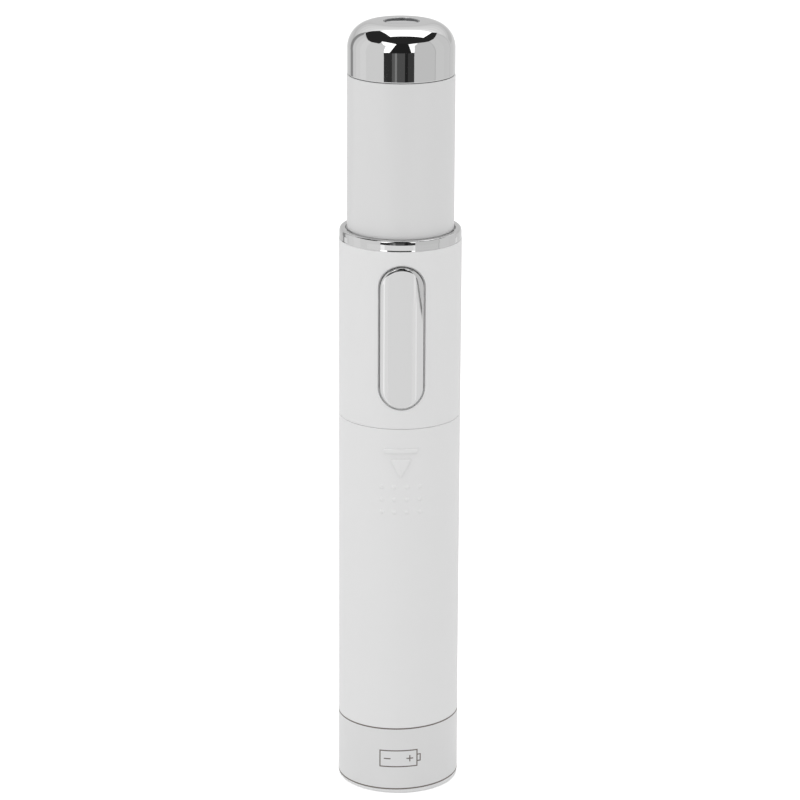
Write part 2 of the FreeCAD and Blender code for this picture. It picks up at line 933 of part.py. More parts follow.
def contact_slots(body):
    """Slot for the contact strip in the plug's back, and the slit that its contact goes through."""
    slot = start_sketch(body, "strip_slot", "XY_Plane", size.strip_top + 0.6)
    half = size.strip_width / 2 + 0.4
    draw_loop(slot, rectangle(-half, half, 7.9, size.plug_radius + 1))
    pocket(body, slot, 6)
    slit = start_sketch(body, "contact_slit", "XY_Plane", size.strip_top + 0.3)
    draw_loop(slit, rectangle(-1.6, 1.6, 5.9, 8.2))
    pocket(body, slit, 0.4)


def wire_notch(body):
    """Notch in the deck for the wires that come down from the head."""
    notch = start_sketch(body, "wire_notch", "XY_Plane", size.deck_top)
    draw_loop(notch, rectangle(-2.8, 2.8, 5.5, size.chassis_radius + 1))
    pocket(body, notch, size.deck_top - size.window_top)


def cover_seal():
    """Square-cut sealing ring in the plug's groove."""
    low = size.seal_middle - size.seal_height / 2
    high = size.seal_middle + size.seal_height / 2
    outer = rod("seal_disc", size.cover_bore - 0.05, low, high)
    inner = rod("seal_hole", size.seal_groove, low, high)
    return combine("Cut", "cover_seal", outer, inner)


def positive_contact():
    """Contact disc under the plug, riveted through its floor."""
    top = size.plug_bottom + size.disc_room
    disc = rod("contact_disc", size.disc_radius, top - size.sheet_metal, top)
    rivet = rod("contact_rivet", 0.8, top, size.plug_floor + 0.8)
    return combine("Fuse", "positive_contact", disc, rivet)


def transfer_contact():
    """Bowed leaf that reaches for the contact strip, with a tab through the plug's wall."""
    body = new_body("transfer_contact")
    leaf = 0.25
    seat = 7.9
    bow = size.cover_bore - size.sheet_metal - 0.1
    top = size.strip_top + 0.25
    sketch = start_sketch(body, "leaf_side", "YZ_Plane")
    draw_loop(sketch, [
        (seat, 58.0),
        (seat + leaf, 58.0),
        (seat + leaf, 59.0),
        (bow, 60.2),
        (bow, 61.2),
        (seat + leaf, 62.4),
        (seat + leaf, top),
        (6.0, top),
        (6.0, top - leaf),
        (seat, top - leaf),
        (seat, 62.2),
        (bow - leaf, 61.0),
        (bow - leaf, 60.4),
        (seat, 59.2),
    ])
    pad(body, sketch, 2.8, both_ways=True)
    return body


def circuit_board():
    """Board between the rails."""
    half = size.board_width / 2
    bottom = size.window_bottom
    back = size.board_thickness - size.board_front
    top = bottom + size.board_length
    return block("circuit_board", (-half, -size.board_front, bottom), (half, back, top))


def controller_chip():
    """Controller on the back of the board."""
    back = size.board_thickness - size.board_front
    return block("controller_chip", (-2.5, back, 81.4), (2.5, back + 1.5, 85.4))


def boost_inductor():
    """Inductor of the converter that lifts the cell's voltage."""
    back = size.board_thickness - size.board_front
    return block("boost_inductor", (-2.5, back, 75.4), (2.5, back + 2.4, 80.4))


def board_capacitors():
    """Two chip capacitors beside the inductor."""
    back = size.board_thickness - size.board_front
    parts = []
    for name, low in (("left_capacitor", -5.4), ("right_capacitor", 3.8)):
        parts.append(block(name, (low, back, 76.5), (low + 1.6, back + 1.6, 79.7)))
    return gather("board_capacitors", parts)


# ---- vibration motor ---------------------------------------------------------------------------------


def motor_boot():
    """Rubber boot that holds the motor in the chassis tube."""
    body = new_body("motor_boot")
    outer = size.motor_tube_bore - 0.05
    inner = size.motor_radius + 0.02
    lip = size.motor_bottom - 1
    turn(body, [
        (2.6, size.deck_top),
        (outer, size.deck_top),
        (outer, size.motor_top),
        (inner, size.motor_top),
        (inner, lip),
        (2.6, lip),
    ])
    return body


def motor_can():
    """Drawn can of the motor, with its nose bearing."""
    body = new_body("motor_can")
    bore = size.shaft_radius + 0.05
    turn(body, [
        (0, size.motor_bottom),
        (size.motor_radius, size.motor_bottom),
        (size.motor_radius, size.motor_top),
        (1.5, size.motor_top),
        (1.5, size.motor_top + 0.5),
        (bore, size.motor_top + 0.5),
        (bore, size.motor_bottom + 4),
        (0, size.motor_bottom + 4),
    ])
    break_edge(body, "nose", size.motor_radius, size.motor_top, 0.4)
    return body


def motor_end_cap():
    """Plastic end of the motor, where its wires leave."""
    return rod("motor_end_cap", size.motor_radius - 0.1, size.motor_bottom - 1, size.motor_bottom)


def motor_shaft():
    """Motor shaft."""
    return rod("motor_shaft", size.shaft_radius, size.motor_bottom + 4.05, size.shaft_top)


def eccentric_weight():
    """Half-round weight on the shaft."""
    body = new_body("eccentric_weight")
    hub = 1.3
    sketch = start_sketch(body, "weight_outline", "XY_Plane", size.weight_bottom)
    draw_loop(
        sketch,
        [(size.weight_radius, 0), (-size.weight_radius, 0), (-hub, 0), (hub, 0)],
        {0: (None, 0), 2: (None, 0)},
    )
    draw_circle(sketch, 0, 0, size.shaft_radius)
    pad(body, sketch, size.weight_height)
    return body


# ---- wires -------------------------------------------------------------------------------------------


def wire_nodes():
    """Wires from the battery contacts, the motor, the heater and the centre contact to the board."""
    beside = -0.65
    heater_end = heater_bottom().number
    stem_end = (size.dome_ceiling - size.bush_depth - size.stem_length).number
    positive = [(0, 0, 61.0), (0, 0, 64.6), (2.6, beside, 69.4), (2.6, beside, 73.4)]
    negative = [(0, 6.25, 63.05), (0, 6.25, 65.6), (-2.6, beside, 70.4), (-2.6, beside, 74.4)]
    motor = [(1.3, 0, 94.0), (1.3, 0, 91.9), (2.2, beside, 90.3), (2.2, beside, 87.6)]
    heater = [
        (1.3, 4.6, heater_end),
        (1.3, 4.6, 119.6),
        (1.8, 6.7, 113.0),
        (1.8, 6.7, 90.6),
        (2.7, 3.9, 88.4),
        (4.6, beside, 86.4),
        (4.6, beside, 82.4),
    ]
    electrode = [
        (0, 0, stem_end),
        (0, 0, 126.4),
        (0, 4.6, 121.2),
        (0, 6.9, 114.2),
        (0, 6.9, 90.8),
        (0, 4.0, 88.8),
        (0, beside, 88.2),
        (0, beside, 85.8),
    ]
    return [
        wires("battery_leads", [positive, negative]),
        wires("motor_leads", [motor, mirrored_route(motor)]),
        wires("heater_leads", [heater, mirrored_route(heater)]),
        wires("electrode_lead", [electrode]),
    ]


# ---- the whole wand ----------------------------------------------------------------------------------


def build():
    """Make every sub-part and return the objects whose shapes are the nodes."""
    makers = [
        battery_cover, spring_plate, contact_strip, negative_spring,
        cell_can, cell_button,
        upper_housing, collar_ring, head_sleeve, massage_head, head_seal,
        electrode_insulator, center_electrode, thermal_pad, heater_ring, heater_carrier,
        button_cap, button_carrier, switch_body, switch_plunger,
        chassis, cover_seal, positive_contact, transfer_contact,
        circuit_board, controller_chip, boost_inductor, board_capacitors,
        motor_boot, motor_can, motor_end_cap, motor_shaft, eccentric_weight,
    ]
    return [maker() for maker in makers] + wire_nodes()


def write_nodes(nodes):
    """Check every object of the document, then write one STEP file per node."""
    doc.recompute()
    for thing in doc.Objects:
        if {"Invalid", "Error"} & set(thing.State):
            raise RuntimeError(f"{thing.Name} failed: {thing.State}")
    for node in nodes:
        if node.Shape.isNull() or not node.Shape.isValid() or not node.Shape.Solids:
            raise RuntimeError(f"{node.Label} has no valid shape")
    os.makedirs("parts", exist_ok=True)
    for node in nodes:
        node.Shape.exportStep(os.path.join("parts", f"{node.Label}.step"))
        print(f"{node.Label}: {len(node.Shape.Solids)} solid(s), {node.Shape.Volume:.1f} mm3")


write_nodes(build())
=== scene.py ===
"""Heated eye massager wand: its visible pieces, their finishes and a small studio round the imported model.

Lengths are in millimetres from the centre of the base, and MM turns them to Blender's metres; the few that
are in metres say so. The wand stands on its base with its axis along +Z, and its button faces -Y. Angles are
in degrees; an azimuth is measured from the front, towards +X.
"""
import logging
import math
from dataclasses import dataclass, field
from enum import Enum
from typing import Callable, Iterable, Sequence

import bmesh
import bpy
from bmesh.types import BMEdge, BMesh, BMVert
from mathutils import Matrix, Vector


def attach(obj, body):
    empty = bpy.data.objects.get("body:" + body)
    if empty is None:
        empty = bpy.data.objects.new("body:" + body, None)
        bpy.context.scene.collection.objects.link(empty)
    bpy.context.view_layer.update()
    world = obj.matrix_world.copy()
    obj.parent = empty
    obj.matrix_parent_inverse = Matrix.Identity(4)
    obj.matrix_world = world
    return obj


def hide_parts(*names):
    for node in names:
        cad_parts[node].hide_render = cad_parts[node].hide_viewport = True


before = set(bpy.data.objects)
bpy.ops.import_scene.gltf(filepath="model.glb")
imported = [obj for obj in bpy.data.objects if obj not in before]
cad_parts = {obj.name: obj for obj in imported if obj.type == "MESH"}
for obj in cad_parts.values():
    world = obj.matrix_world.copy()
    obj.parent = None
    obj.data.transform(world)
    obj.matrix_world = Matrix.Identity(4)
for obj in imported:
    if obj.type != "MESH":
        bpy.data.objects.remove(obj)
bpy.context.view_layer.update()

Colour = tuple[float, float, float, float]
Point = tuple[float, float]

LOG = logging.getLogger("wand")
MM = 0.001
WHITE: Colour = (1.0, 1.0, 1.0, 1.0)
# steps in a full turn of the wand's large and small round shapes
AROUND = 192
AROUND_SMALL = 96
# points closer than this are one point
MERGE = 1e-3
# room for rounding where lengths or angles are compared
NEAR = 1e-4
# nearly all of a noise pattern lies between these values
NOISE_LOW = 0.3
NOISE_HIGH = 0.7
# how deep a raised plate is rooted in the surface under it, and how wide the columns are that let it bend
PLATE_ROOT = 0.1
PLATE_COLUMN = 0.35
# how much more a large face counts than a small one where their normals meet, from 1 to 100
FACE_WEIGHT = 60


# ---- colours and shader nodes ------------------------------------------------------------------------


def linear(hex_colour: str) -> Colour:
    """Turn an sRGB hex colour to the linear values that shaders use.

    Args:
        hex_colour: six hex digits.

    Returns:
        Red, green, blue and an alpha of one.
    """
    channels = []
    for start in (0, 2, 4):
        value = int(hex_colour[start:start + 2], 16) / 255
        channels.append(value / 12.92 if value <= 0.04045 else ((value + 0.055) / 1.055) ** 2.4)
    return channels[0], channels[1], channels[2], 1.0


def add_node(tree: bpy.types.NodeTree, kind: str, inputs: dict | None = None, **settings) -> bpy.types.Node:
    """Add a shader node, set its properties, and fill or link its inputs.

    Args:
        tree: the material's or world's node tree.
        kind: the node's type name.
        inputs: a value or another node's output for each input, by name or number.
        **settings: the node's own properties.

    Returns:
        The new node.
    """
    made = tree.nodes.new(kind)
    for name, value in settings.items():
        setattr(made, name, value)
    for socket, value in (inputs or {}).items():
        if isinstance(value, bpy.types.NodeSocket):
            tree.links.new(value, made.inputs[socket])
        else:
            made.inputs[socket].default_value = value
    return made


def empty_tree(owner: bpy.types.Material | bpy.types.World) -> bpy.types.NodeTree:
    """Switch nodes on for a material or world and clear them.

    Args:
        owner: the material or world.

    Returns:
        Its node tree.
    """
    owner.use_nodes = True
    owner.node_tree.nodes.clear()
    return owner.node_tree


def noise(tree: bpy.types.NodeTree, grain: float, octaves: float = 2.0,
          stretch: Sequence[float] = (1.0, 1.0, 1.0)) -> bpy.types.NodeSocket:
    """Add a noise pattern on the object's own coordinates.

    Args:
        tree: the material's node tree.
        grain: size of one grain in millimetres.
        octaves: number of finer layers of noise.
        stretch: how much closer the grains lie along X, Y and Z.

    Returns:
        The pattern's output, from 0 to 1.
    """
    place = add_node(tree, "ShaderNodeTexCoord")
    scale = tuple(share / (grain * MM) for share in stretch)
    mapping = add_node(tree, "ShaderNodeMapping", {"Vector": place.outputs["Object"], "Scale": scale})
    made = add_node(tree, "ShaderNodeTexNoise",
                    {"Vector": mapping.outputs["Vector"], "Scale": 1.0, "Detail": octaves})
    return made.outputs["Fac"]


def spread(tree: bpy.types.NodeTree, pattern: bpy.types.NodeSocket, low: float,
           high: float) -> bpy.types.NodeSocket:
    """Spread the part of a noise pattern that it mostly uses over another range.

    Args:
        tree: the material's node tree.
        pattern: the noise pattern's output.
        low: what the pattern's low end becomes.
        high: what its high end becomes.

    Returns:
        The new values' output.
    """
    made = add_node(tree, "ShaderNodeMapRange", {
        "Value": pattern, "From Min": NOISE_LOW, "From Max": NOISE_HIGH, "To Min": low, "To Max": high})
    return made.outputs["Result"]


def height_band(tree: bpy.types.NodeTree, low: float, high: float) -> bpy.types.NodeSocket:
    """Add a mask for a band round the object.

    Args:
        tree: the material's node tree.
        low: height of the band's lower edge.
        high: height of its upper edge.

    Returns:
        An output that is 1 in the band and 0 elsewhere.
    """
    place = add_node(tree, "ShaderNodeTexCoord")
    split = add_node(tree, "ShaderNodeSeparateXYZ", {"Vector": place.outputs["Object"]})
    middle, reach = (low + high) / 2 * MM, (high - low) / 2 * MM
    made = add_node(tree, "ShaderNodeMath", {0: split.outputs["Z"], 1: middle, 2: reach}, operation="COMPARE")
    return made.outputs["Value"]


def mirrored_rays(tree: bpy.types.NodeTree, path: bpy.types.Node) -> bpy.types.NodeSocket:
    """Add a mask for rays that come by way of a shiny or clear surface.

    Args:
        tree: the material's or world's node tree.
        path: its light path node.

    Returns:
        An output that is 1 for those rays and 0 for all others.
    """
    made = add_node(tree, "ShaderNodeMath", {
        0: path.outputs["Is Glossy Ray"], 1: path.outputs["Is Transmission Ray"]}, operation="MAXIMUM")
    return made.outputs["Value"]


# ---- finishes ----------------------------------------------------------------------------------------


@dataclass(frozen=True)
class Finish:
    """A surface: what it is made of, its colour, its gloss and its fine relief.

    The colour is darkened by the share `shade` in soft patches of `patch` millimetres, and the roughness
    varies by the share `wear`. The relief is a noise whose grains are `grain` millimetres wide and `depth`
    millimetres high; a finish without a depth has no relief.
    """

    name: str
    colour: str
    roughness: float
    metallic: float = 0.0
    ior: float = 1.5
    shade: float = 0.04
    patch: float = 6.0
    wear: float = 0.1
    grain: float = 1.0
    octaves: float = 2.0
    stretch: tuple[float, float, float] = (1.0, 1.0, 1.0)
    depth: float = 0.0

    def material(self) -> bpy.types.Material:
        """Make this finish's material on its first use.

        Returns:
            The material.
        """
        known = bpy.data.materials.get(self.name)
        if known:
            return known
        made = bpy.data.materials.new(self.name)
        tree = empty_tree(made)
        shader = add_node(tree, "ShaderNodeBsdfPrincipled", {
            "Base Color": self.tint(tree), "Metallic": self.metallic, "Roughness": self.gloss(tree)})
        if not self.metallic:
            shader.inputs["IOR"].default_value = self.ior
        if self.depth:
            tree.links.new(self.relief(tree), shader.inputs["Normal"])
        add_node(tree, "ShaderNodeOutputMaterial", {"Surface": shader.outputs["BSDF"]})
        return made

    def tint(self, tree: bpy.types.NodeTree) -> bpy.types.NodeSocket:
        """Vary the colour a little in soft patches."""
        return self.blend(tree, spread(tree, noise(tree, self.patch), 0, 1), self.colour, self.darker())

    def darker(self) -> Colour:
        """Work out the colour of the darker patches.

        Returns:
            The linear colour.
        """
        red, green, blue, _ = linear(self.colour)
        keep = 1 - self.shade
        return red * keep, green * keep, blue * keep, 1.0

    @staticmethod
    def blend(tree: bpy.types.NodeTree, share: bpy.types.NodeSocket, first: str | Colour,
              second: str | Colour) -> bpy.types.NodeSocket:
        """Mix two colours.

        Args:
            tree: the material's node tree.
            share: how much of the second colour there is, from 0 to 1.
            first: the colour at 0, as hex digits or linear values.
            second: the colour at 1.

        Returns:
            The mixed colour's output.
        """
        start, end = (linear(colour) if isinstance(colour, str) else colour for colour in (first, second))
        mix = add_node(tree, "ShaderNodeMix", {"Factor": share, 6: start, 7: end}, data_type="RGBA")
        return mix.outputs[2]

    def gloss(self, tree: bpy.types.NodeTree) -> bpy.types.NodeSocket:
        """Vary the roughness a little, as handling and moulding do."""
        return spread(tree, noise(tree, self.patch / 2, 3),
                      self.roughness * (1 - self.wear), self.roughness * (1 + self.wear))

    def relief(self, tree: bpy.types.NodeTree) -> bpy.types.NodeSocket:
        """Turn the fine grain to a normal.

        Args:
            tree: the material's node tree.

        Returns:
            The normal's output.
        """
        pattern = noise(tree, self.grain, self.octaves, self.stretch)
        made = add_node(tree, "ShaderNodeBump",
                        {"Height": pattern, "Distance": self.depth * MM, "Strength": 1.0})
        return made.outputs["Normal"]


@dataclass(frozen=True)
class MouldedPlastic(Finish):
    """Injection-moulded plastic: the tool's spark-eroded skin leaves a fine even grain."""

    grain: float = 0.35
    octaves: float = 4.0
    depth: float = 0.0006


@dataclass(frozen=True)
class ChromePlate(Finish):
    """Bright chromium on polished plastic or brass: mirror clear, with a slow ripple from the polishing."""

    metallic: float = 1.0
    grain: float = 7.0
    octaves: float = 1.0
    depth: float = 0.0012


@dataclass(frozen=True)
class DrawnMetal(Finish):
    """Plated or bare sheet and turned metal, with fine marks along the way it was worked."""

    metallic: float = 1.0
    grain: float = 0.12
    octaves: float = 3.0
    stretch: tuple[float, float, float] = (1.0, 1.0, 0.06)
    depth: float = 0.002


@dataclass(frozen=True)
class FiredOrSintered(Finish):
    """Ceramic or ferrite: a dry body with open grains and a few darker pores."""

    grain: float = 0.18
    octaves: float = 5.0
    depth: float = 0.01
    pores: str = "000000"
    fewest_pores: float = -1.2
    most_pores: float = 0.4

    def tint(self, tree: bpy.types.NodeTree) -> bpy.types.NodeSocket:
        """Scatter pores over the body colour."""
        pits = spread(tree, noise(tree, self.grain, self.octaves), self.fewest_pores, self.most_pores)
        return self.blend(tree, pits, self.colour, self.pores)


@dataclass(frozen=True)
class BoardLaminate(Finish):
    """Glass-cloth laminate under solder mask: the weave shows through as faint squares."""

    weave: float = 0.6

    def tint(self, tree: bpy.types.NodeTree) -> bpy.types.NodeSocket:
        """Show the cloth's squares, drawn coarser than the real 0.2 mm so that they can be seen.

        Args:
            tree: the material's node tree.

        Returns:
            The colour's output.
        """
        place = add_node(tree, "ShaderNodeTexCoord")
        squares = add_node(tree, "ShaderNodeTexChecker", {
            "Vector": place.outputs["Object"], "Scale": 1 / (self.weave * MM)})
        return self.blend(tree, squares.outputs["Fac"], self.colour, self.darker())


@dataclass(frozen=True)
class PrintedJacket(Finish):
    """Foil jacket of a cell: slightly uneven from shrinking, with one darker band at its positive end."""

    metallic: float = 0.85
    grain: float = 1.6
    depth: float = 0.01
    band: str = "3F6472"
    band_low: float = 48.5
    band_high: float = 54.5

    def tint(self, tree: bpy.types.NodeTree) -> bpy.types.NodeSocket:
        """Print the band over the body colour."""
        return self.blend(tree, height_band(tree, self.band_low, self.band_high), self.colour, self.band)


@dataclass(frozen=True)
class LabelFilm(Finish):
    """Printed polyester film: smoother than the plastic, with a faint stipple from its adhesive."""

    grain: float = 1.1
    depth: float = 0.0015


# ABS, injection moulded, fine satin skin: neutral white with soft reflections
WHITE_ABS = MouldedPlastic("White_ABS_moulded", "EAEAEA", 0.48, ior=1.44, shade=0.006, patch=14, wear=0.03)
# the head's sleeve: the same plastic, glossier and a touch darker
SLEEVE_ABS = MouldedPlastic("White_ABS_sleeve", "E2E2E2", 0.3, ior=1.48, shade=0.006, patch=14, wear=0.03)
# chromium plate: darker than silver, mirror clear, neutral
CHROME = ChromePlate("Chrome_plate_polished", "CDCDCD", 0.035, shade=0.01, patch=9)
# the contact in the crown is plated too, and a little duller from use
CONTACT_CHROME = ChromePlate("Chrome_plate_contact", "CACACB", 0.09, shade=0.03, patch=1.5, grain=2.5)
# polyester film, printed white and matt: a faint stipple, a touch darker than the plastic
LABEL_FILM = LabelFilm("Polyester_film_label", "E2E2E2", 0.36, ior=1.57, shade=0.015, patch=8)
# screen ink: thin, warm grey and without gloss
LABEL_INK = MouldedPlastic("Screen_ink_grey", "6E6661", 0.5, shade=0.08, patch=0.8, grain=0.2)
# natural ABS of the inner mouldings: creamy and matt
INNER_ABS = MouldedPlastic("Inner_ABS_matt", "DADAD6", 0.55, shade=0.03, patch=10, depth=0.002)
# glass-filled nylon, moulded: black and matt, with a rougher grain
BLACK_NYLON = MouldedPlastic("Black_nylon_moulded", "232426", 0.5, ior=1.53, shade=0.2, grain=0.25,
                             depth=0.004)
# nylon of the contact's bush, mid grey and smooth
BUSH_NYLON = MouldedPlastic("Dark_grey_nylon_bush", "68696B", 0.28, ior=1.53, shade=0.1, grain=0.1,
                            depth=0.001)
# silicone, moulded: dark grey and dull
GASKET = MouldedPlastic("Grey_silicone_moulded", "5C5D5F", 0.6, ior=1.41, shade=0.1, grain=0.3, depth=0.003)
# nitrile rubber, moulded: black with a faint bloom in patches
RUBBER = MouldedPlastic("Nitrile_rubber_moulded", "26272A", 0.62, ior=1.52, shade=0.25, grain=0.3,
                        depth=0.005)
# nickel-plated spring steel: warm and bright, with faint drawing marks
NICKEL = DrawnMetal("Nickel_plated_steel", "C9C5BC", 0.22, shade=0.05, patch=3)
# drawn steel of the motor's can and shaft: cooler than nickel, with a softer shine
STEEL = DrawnMetal("Drawn_steel_bright", "BFC0C2", 0.28, shade=0.05, patch=3)
# free-machining brass, turned: yellow, with fine rings round the axis
BRASS = DrawnMetal("Turned_brass", "C9A558", 0.25, shade=0.08, patch=3, stretch=(0.1, 0.1, 1.0))
# aluminised foil, shrunk on: silvery and a little uneven
JACKET = PrintedJacket("Foil_jacket_printed", "BFC5C8", 0.3, shade=0.04)
# alumina, fired and unglazed: dry cream with fine pores
ALUMINA = FiredOrSintered("Alumina_fired", "E9E4D8", 0.65, pores="C9C0AE")
# manganese-zinc ferrite, sintered: dull dark grey with black pores
FERRITE = FiredOrSintered("Sintered_ferrite", "3A3B3D", 0.7, pores="1E1F20")
# epoxy glass laminate with solder mask: glossy green with the cloth's faint squares
LAMINATE = BoardLaminate("Glass_epoxy_laminate", "1F6B43", 0.35, shade=0.14)
# vinyl insulation, extruded: red with a soft sheen
INSULATION = MouldedPlastic("Vinyl_insulation_red", "B4302C", 0.42, shade=0.08, patch=2)


# ---- mesh helpers ------------------------------------------------------------------------------------


@dataclass(frozen=True)
class Corner:
    """One corner of a turned outline, with an optional fillet."""

    radius: float
    height: float
    fillet: float = 0.0
    steps: int = 5


def arc(centre: Point, radius: float, start: float, end: float, steps: int) -> list[Corner]:
    """Return corners along an arc of an outline.

    Args:
        centre: the arc's centre as radius and height.
        radius: the arc's own radius.
        start: first angle, 0 pointing outwards and 90 up.
        end: last angle.
        steps: number of straight pieces.

    Returns:
        The corners from start to end.
    """
    corners = []
    for step in range(steps + 1):
        angle = math.radians(start + (end - start) * step / steps)
        corners.append(Corner(centre[0] + radius * math.cos(angle), centre[1] + radius * math.sin(angle)))
    return corners


def rectangle(first: float, last: float, low: float, high: float) -> tuple[Point, ...]:
    """Return the corners of a rectangle, from first to last across and from low to high."""
    return (first, low), (last, low), (last, high), (first, high)


def new_verts(made: dict) -> list[BMVert]:
    """Pick the points out of what an operator has made."""
    return [item for item in made["geom"] if isinstance(item, BMVert)]


def soften(mesh: BMesh, items: Sequence[BMEdge | BMVert], reach: float, steps: int = 3,
           affect: str = "EDGES") -> None:
    """Round some edges or points over this reach, in this many steps."""
    bmesh.ops.bevel(mesh, geom=items, offset=reach, offset_type="OFFSET", segments=steps, profile=0.5,
                    affect=affect, material=-1)


def fillet_corner(mesh: BMesh, vert: BMVert, corner: Corner) -> None:
    """Round one corner of an outline that is still a wire.

    Args:
        mesh: the outline's mesh.
        vert: the point at the corner.
        corner: its fillet and steps.
    """
    runs = [edge.other_vert(vert).co - vert.co for edge in vert.link_edges]
    bend = math.pi - runs[0].angle(runs[1])
    soften(mesh, [vert], corner.fillet * math.tan(bend / 2), corner.steps, "VERTICES")


def lathe(corners: Sequence[Corner], around: int = AROUND) -> BMesh:
    """Turn an outline about the wand's axis.

    Args:
        corners: the outline; it is closed unless both its ends are on the axis.
        around: number of steps in the full turn.

    Returns:
        The closed mesh.
    """
    mesh = bmesh.new()
    verts = [mesh.verts.new((corner.radius, 0, corner.height)) for corner in corners]
    for first, second in zip(verts, verts[1:]):
        mesh.edges.new((first, second))
    if corners[0].radius or corners[-1].radius:
        mesh.edges.new((verts[-1], verts[0]))
    for vert, corner in zip(verts, corners):
        if corner.fillet:
            fillet_corner(mesh, vert, corner)
    bmesh.ops.spin(mesh, geom=mesh.verts[:] + mesh.edges[:], cent=(0, 0, 0), axis=(0, 0, 1), dvec=(0, 0, 0),
                   angle=math.tau, steps=around, use_merge=True, use_duplicate=False)
    bmesh.ops.remove_doubles(mesh, verts=mesh.verts, dist=MERGE)
    bmesh.ops.recalc_face_normals(mesh, faces=mesh.faces)
    return mesh


def wrap(mesh: BMesh, radius: float) -> None:
    """Bend a flat layout round the wand: X runs round it, -Y stands out from it and Z stays.

    Args:
        mesh: the layout.
        radius: radius of the surface that it is bent round.
    """
    for vert in mesh.verts:
        angle, out = vert.co.x / radius, radius - vert.co.y
        vert.co = Vector((out * math.sin(angle), -out * math.cos(angle), vert.co.z))


def slice_columns(mesh: BMesh, reach: float) -> None:
    """Cut a flat layout into upright columns, so that it can be bent.

    Args:
        mesh: the layout.
        reach: how far it goes to either side.
    """
    count = 2 * math.ceil(reach / PLATE_COLUMN) + 1
    for number in range(1, count):
        across = -reach + 2 * reach * number / count
        bmesh.ops.bisect_plane(mesh, geom=mesh.verts[:] + mesh.edges[:] + mesh.faces[:], dist=MERGE,
                               plane_co=(across, 0, 0), plane_no=(1, 0, 0))


def raised_plate(outline: Sequence[Point], rounding: float, rise: float, edge: float, radius: float) -> BMesh:
    """Make a thin plate that follows the wand's side.

    Args:
        outline: corners as distance round the wand and height.
        rounding: radius of its corners.
        rise: how far it stands out.
        edge: width of its bevelled rim.
        radius: radius of the surface under it.

    Returns:
        The closed mesh, rooted in that surface.
    """
    mesh = bmesh.new()
    verts = [mesh.verts.new((across, PLATE_ROOT, height)) for across, height in outline]
    mesh.faces.new(verts)
    if rounding:
        soften(mesh, verts, rounding, affect="VERTICES")
    front = new_verts(bmesh.ops.extrude_face_region(mesh, geom=mesh.faces[:], use_keep_orig=True))
    bmesh.ops.translate(mesh, verts=front, vec=(0, -(PLATE_ROOT + rise), 0))
    if edge:
        soften(mesh, [item for item in mesh.edges if all(vert in front for vert in item.verts)], edge)
    bmesh.ops.recalc_face_normals(mesh, faces=mesh.faces)
    slice_columns(mesh, max(abs(across) for across, _ in outline))
    wrap(mesh, radius)
    return mesh


def join(parts: Iterable[BMesh]) -> BMesh:
    """Gather several meshes in one.

    Args:
        parts: the meshes, which are used up.

    Returns:
        The whole.
    """
    whole = bmesh.new()
    for part in parts:
        holder = bpy.data.meshes.new("holder")
        part.to_mesh(holder)
        part.free()
        whole.from_mesh(holder)
        bpy.data.meshes.remove(holder)
    return whole


def turned(mesh: BMesh, degrees: float, axis: str = "Z") -> BMesh:
    """Turn a mesh about an axis through the origin.

    Args:
        mesh: the mesh, which is changed.
        degrees: how far it turns.
        axis: the axis' letter.

    Returns:
        The same mesh.
    """
    matrix = Matrix.Rotation(math.radians(degrees), 3, axis)
    bmesh.ops.rotate(mesh, verts=mesh.verts, cent=(0, 0, 0), matrix=matrix)
    return mesh


def link(name: str, data: bpy.types.ID) -> bpy.types.Object:
    """Put a mesh, a lamp or a camera in the scene.

    Args:
        name: the object's name.
        data: what it shows.

    Returns:
        The object.
    """
    made = bpy.data.objects.new(name, data)
    bpy.context.scene.collection.objects.link(made)
    return made


def link_mesh(mesh: BMesh, name: str, material: bpy.types.Material) -> bpy.types.Object:
    """Put a shape in the scene.

    Args:
        mesh: the shape, which is used up.
        name: the object's name.
        material: its material.

    Returns:
        The object.
    """
    data = bpy.data.meshes.new(name)
    mesh.to_mesh(data)
    mesh.free()
    data.materials.append(material)
    return link(name, data)


def piece(mesh: BMesh, name: str, finish: Finish, body: str, nodes: Sequence[str] = (),
          crease: float = 40.0) -> bpy.types.Object:
    """Make a finished piece of the wand from a mesh.

    Args:
        mesh: the shape, which is used up.
        name: the piece's name.
        finish: its surface.
        body: the body that it moves with.
        nodes: the solids that it stands for.
        crease: edges sharper than this many degrees stay sharp.

    Returns:
        The object.
    """
    bmesh.ops.scale(mesh, verts=mesh.verts, vec=(MM, MM, MM))
    made = link_mesh(mesh, name, finish.material())
    made.data.shade_smooth()
    made.data.set_sharp_from_angle(angle=math.radians(crease))
    even = made.modifiers.new("flat_faces_rule", "WEIGHTED_NORMAL")
    even.keep_sharp = True
    even.weight = FACE_WEIGHT
    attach(made, body)
    if nodes:
        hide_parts(*nodes)
    LOG.info("%s: %d faces on %s", name, len(made.data.polygons), body)
    return made


# ---- battery cover -----------------------------------------------------------------------------------


@dataclass(frozen=True)
class Mark:
    """A raised mark: its width, foot and top, and the rounding of its corners and of its rim."""

    width: float
    low: float
    high: float
    rounding: float
    edge: float


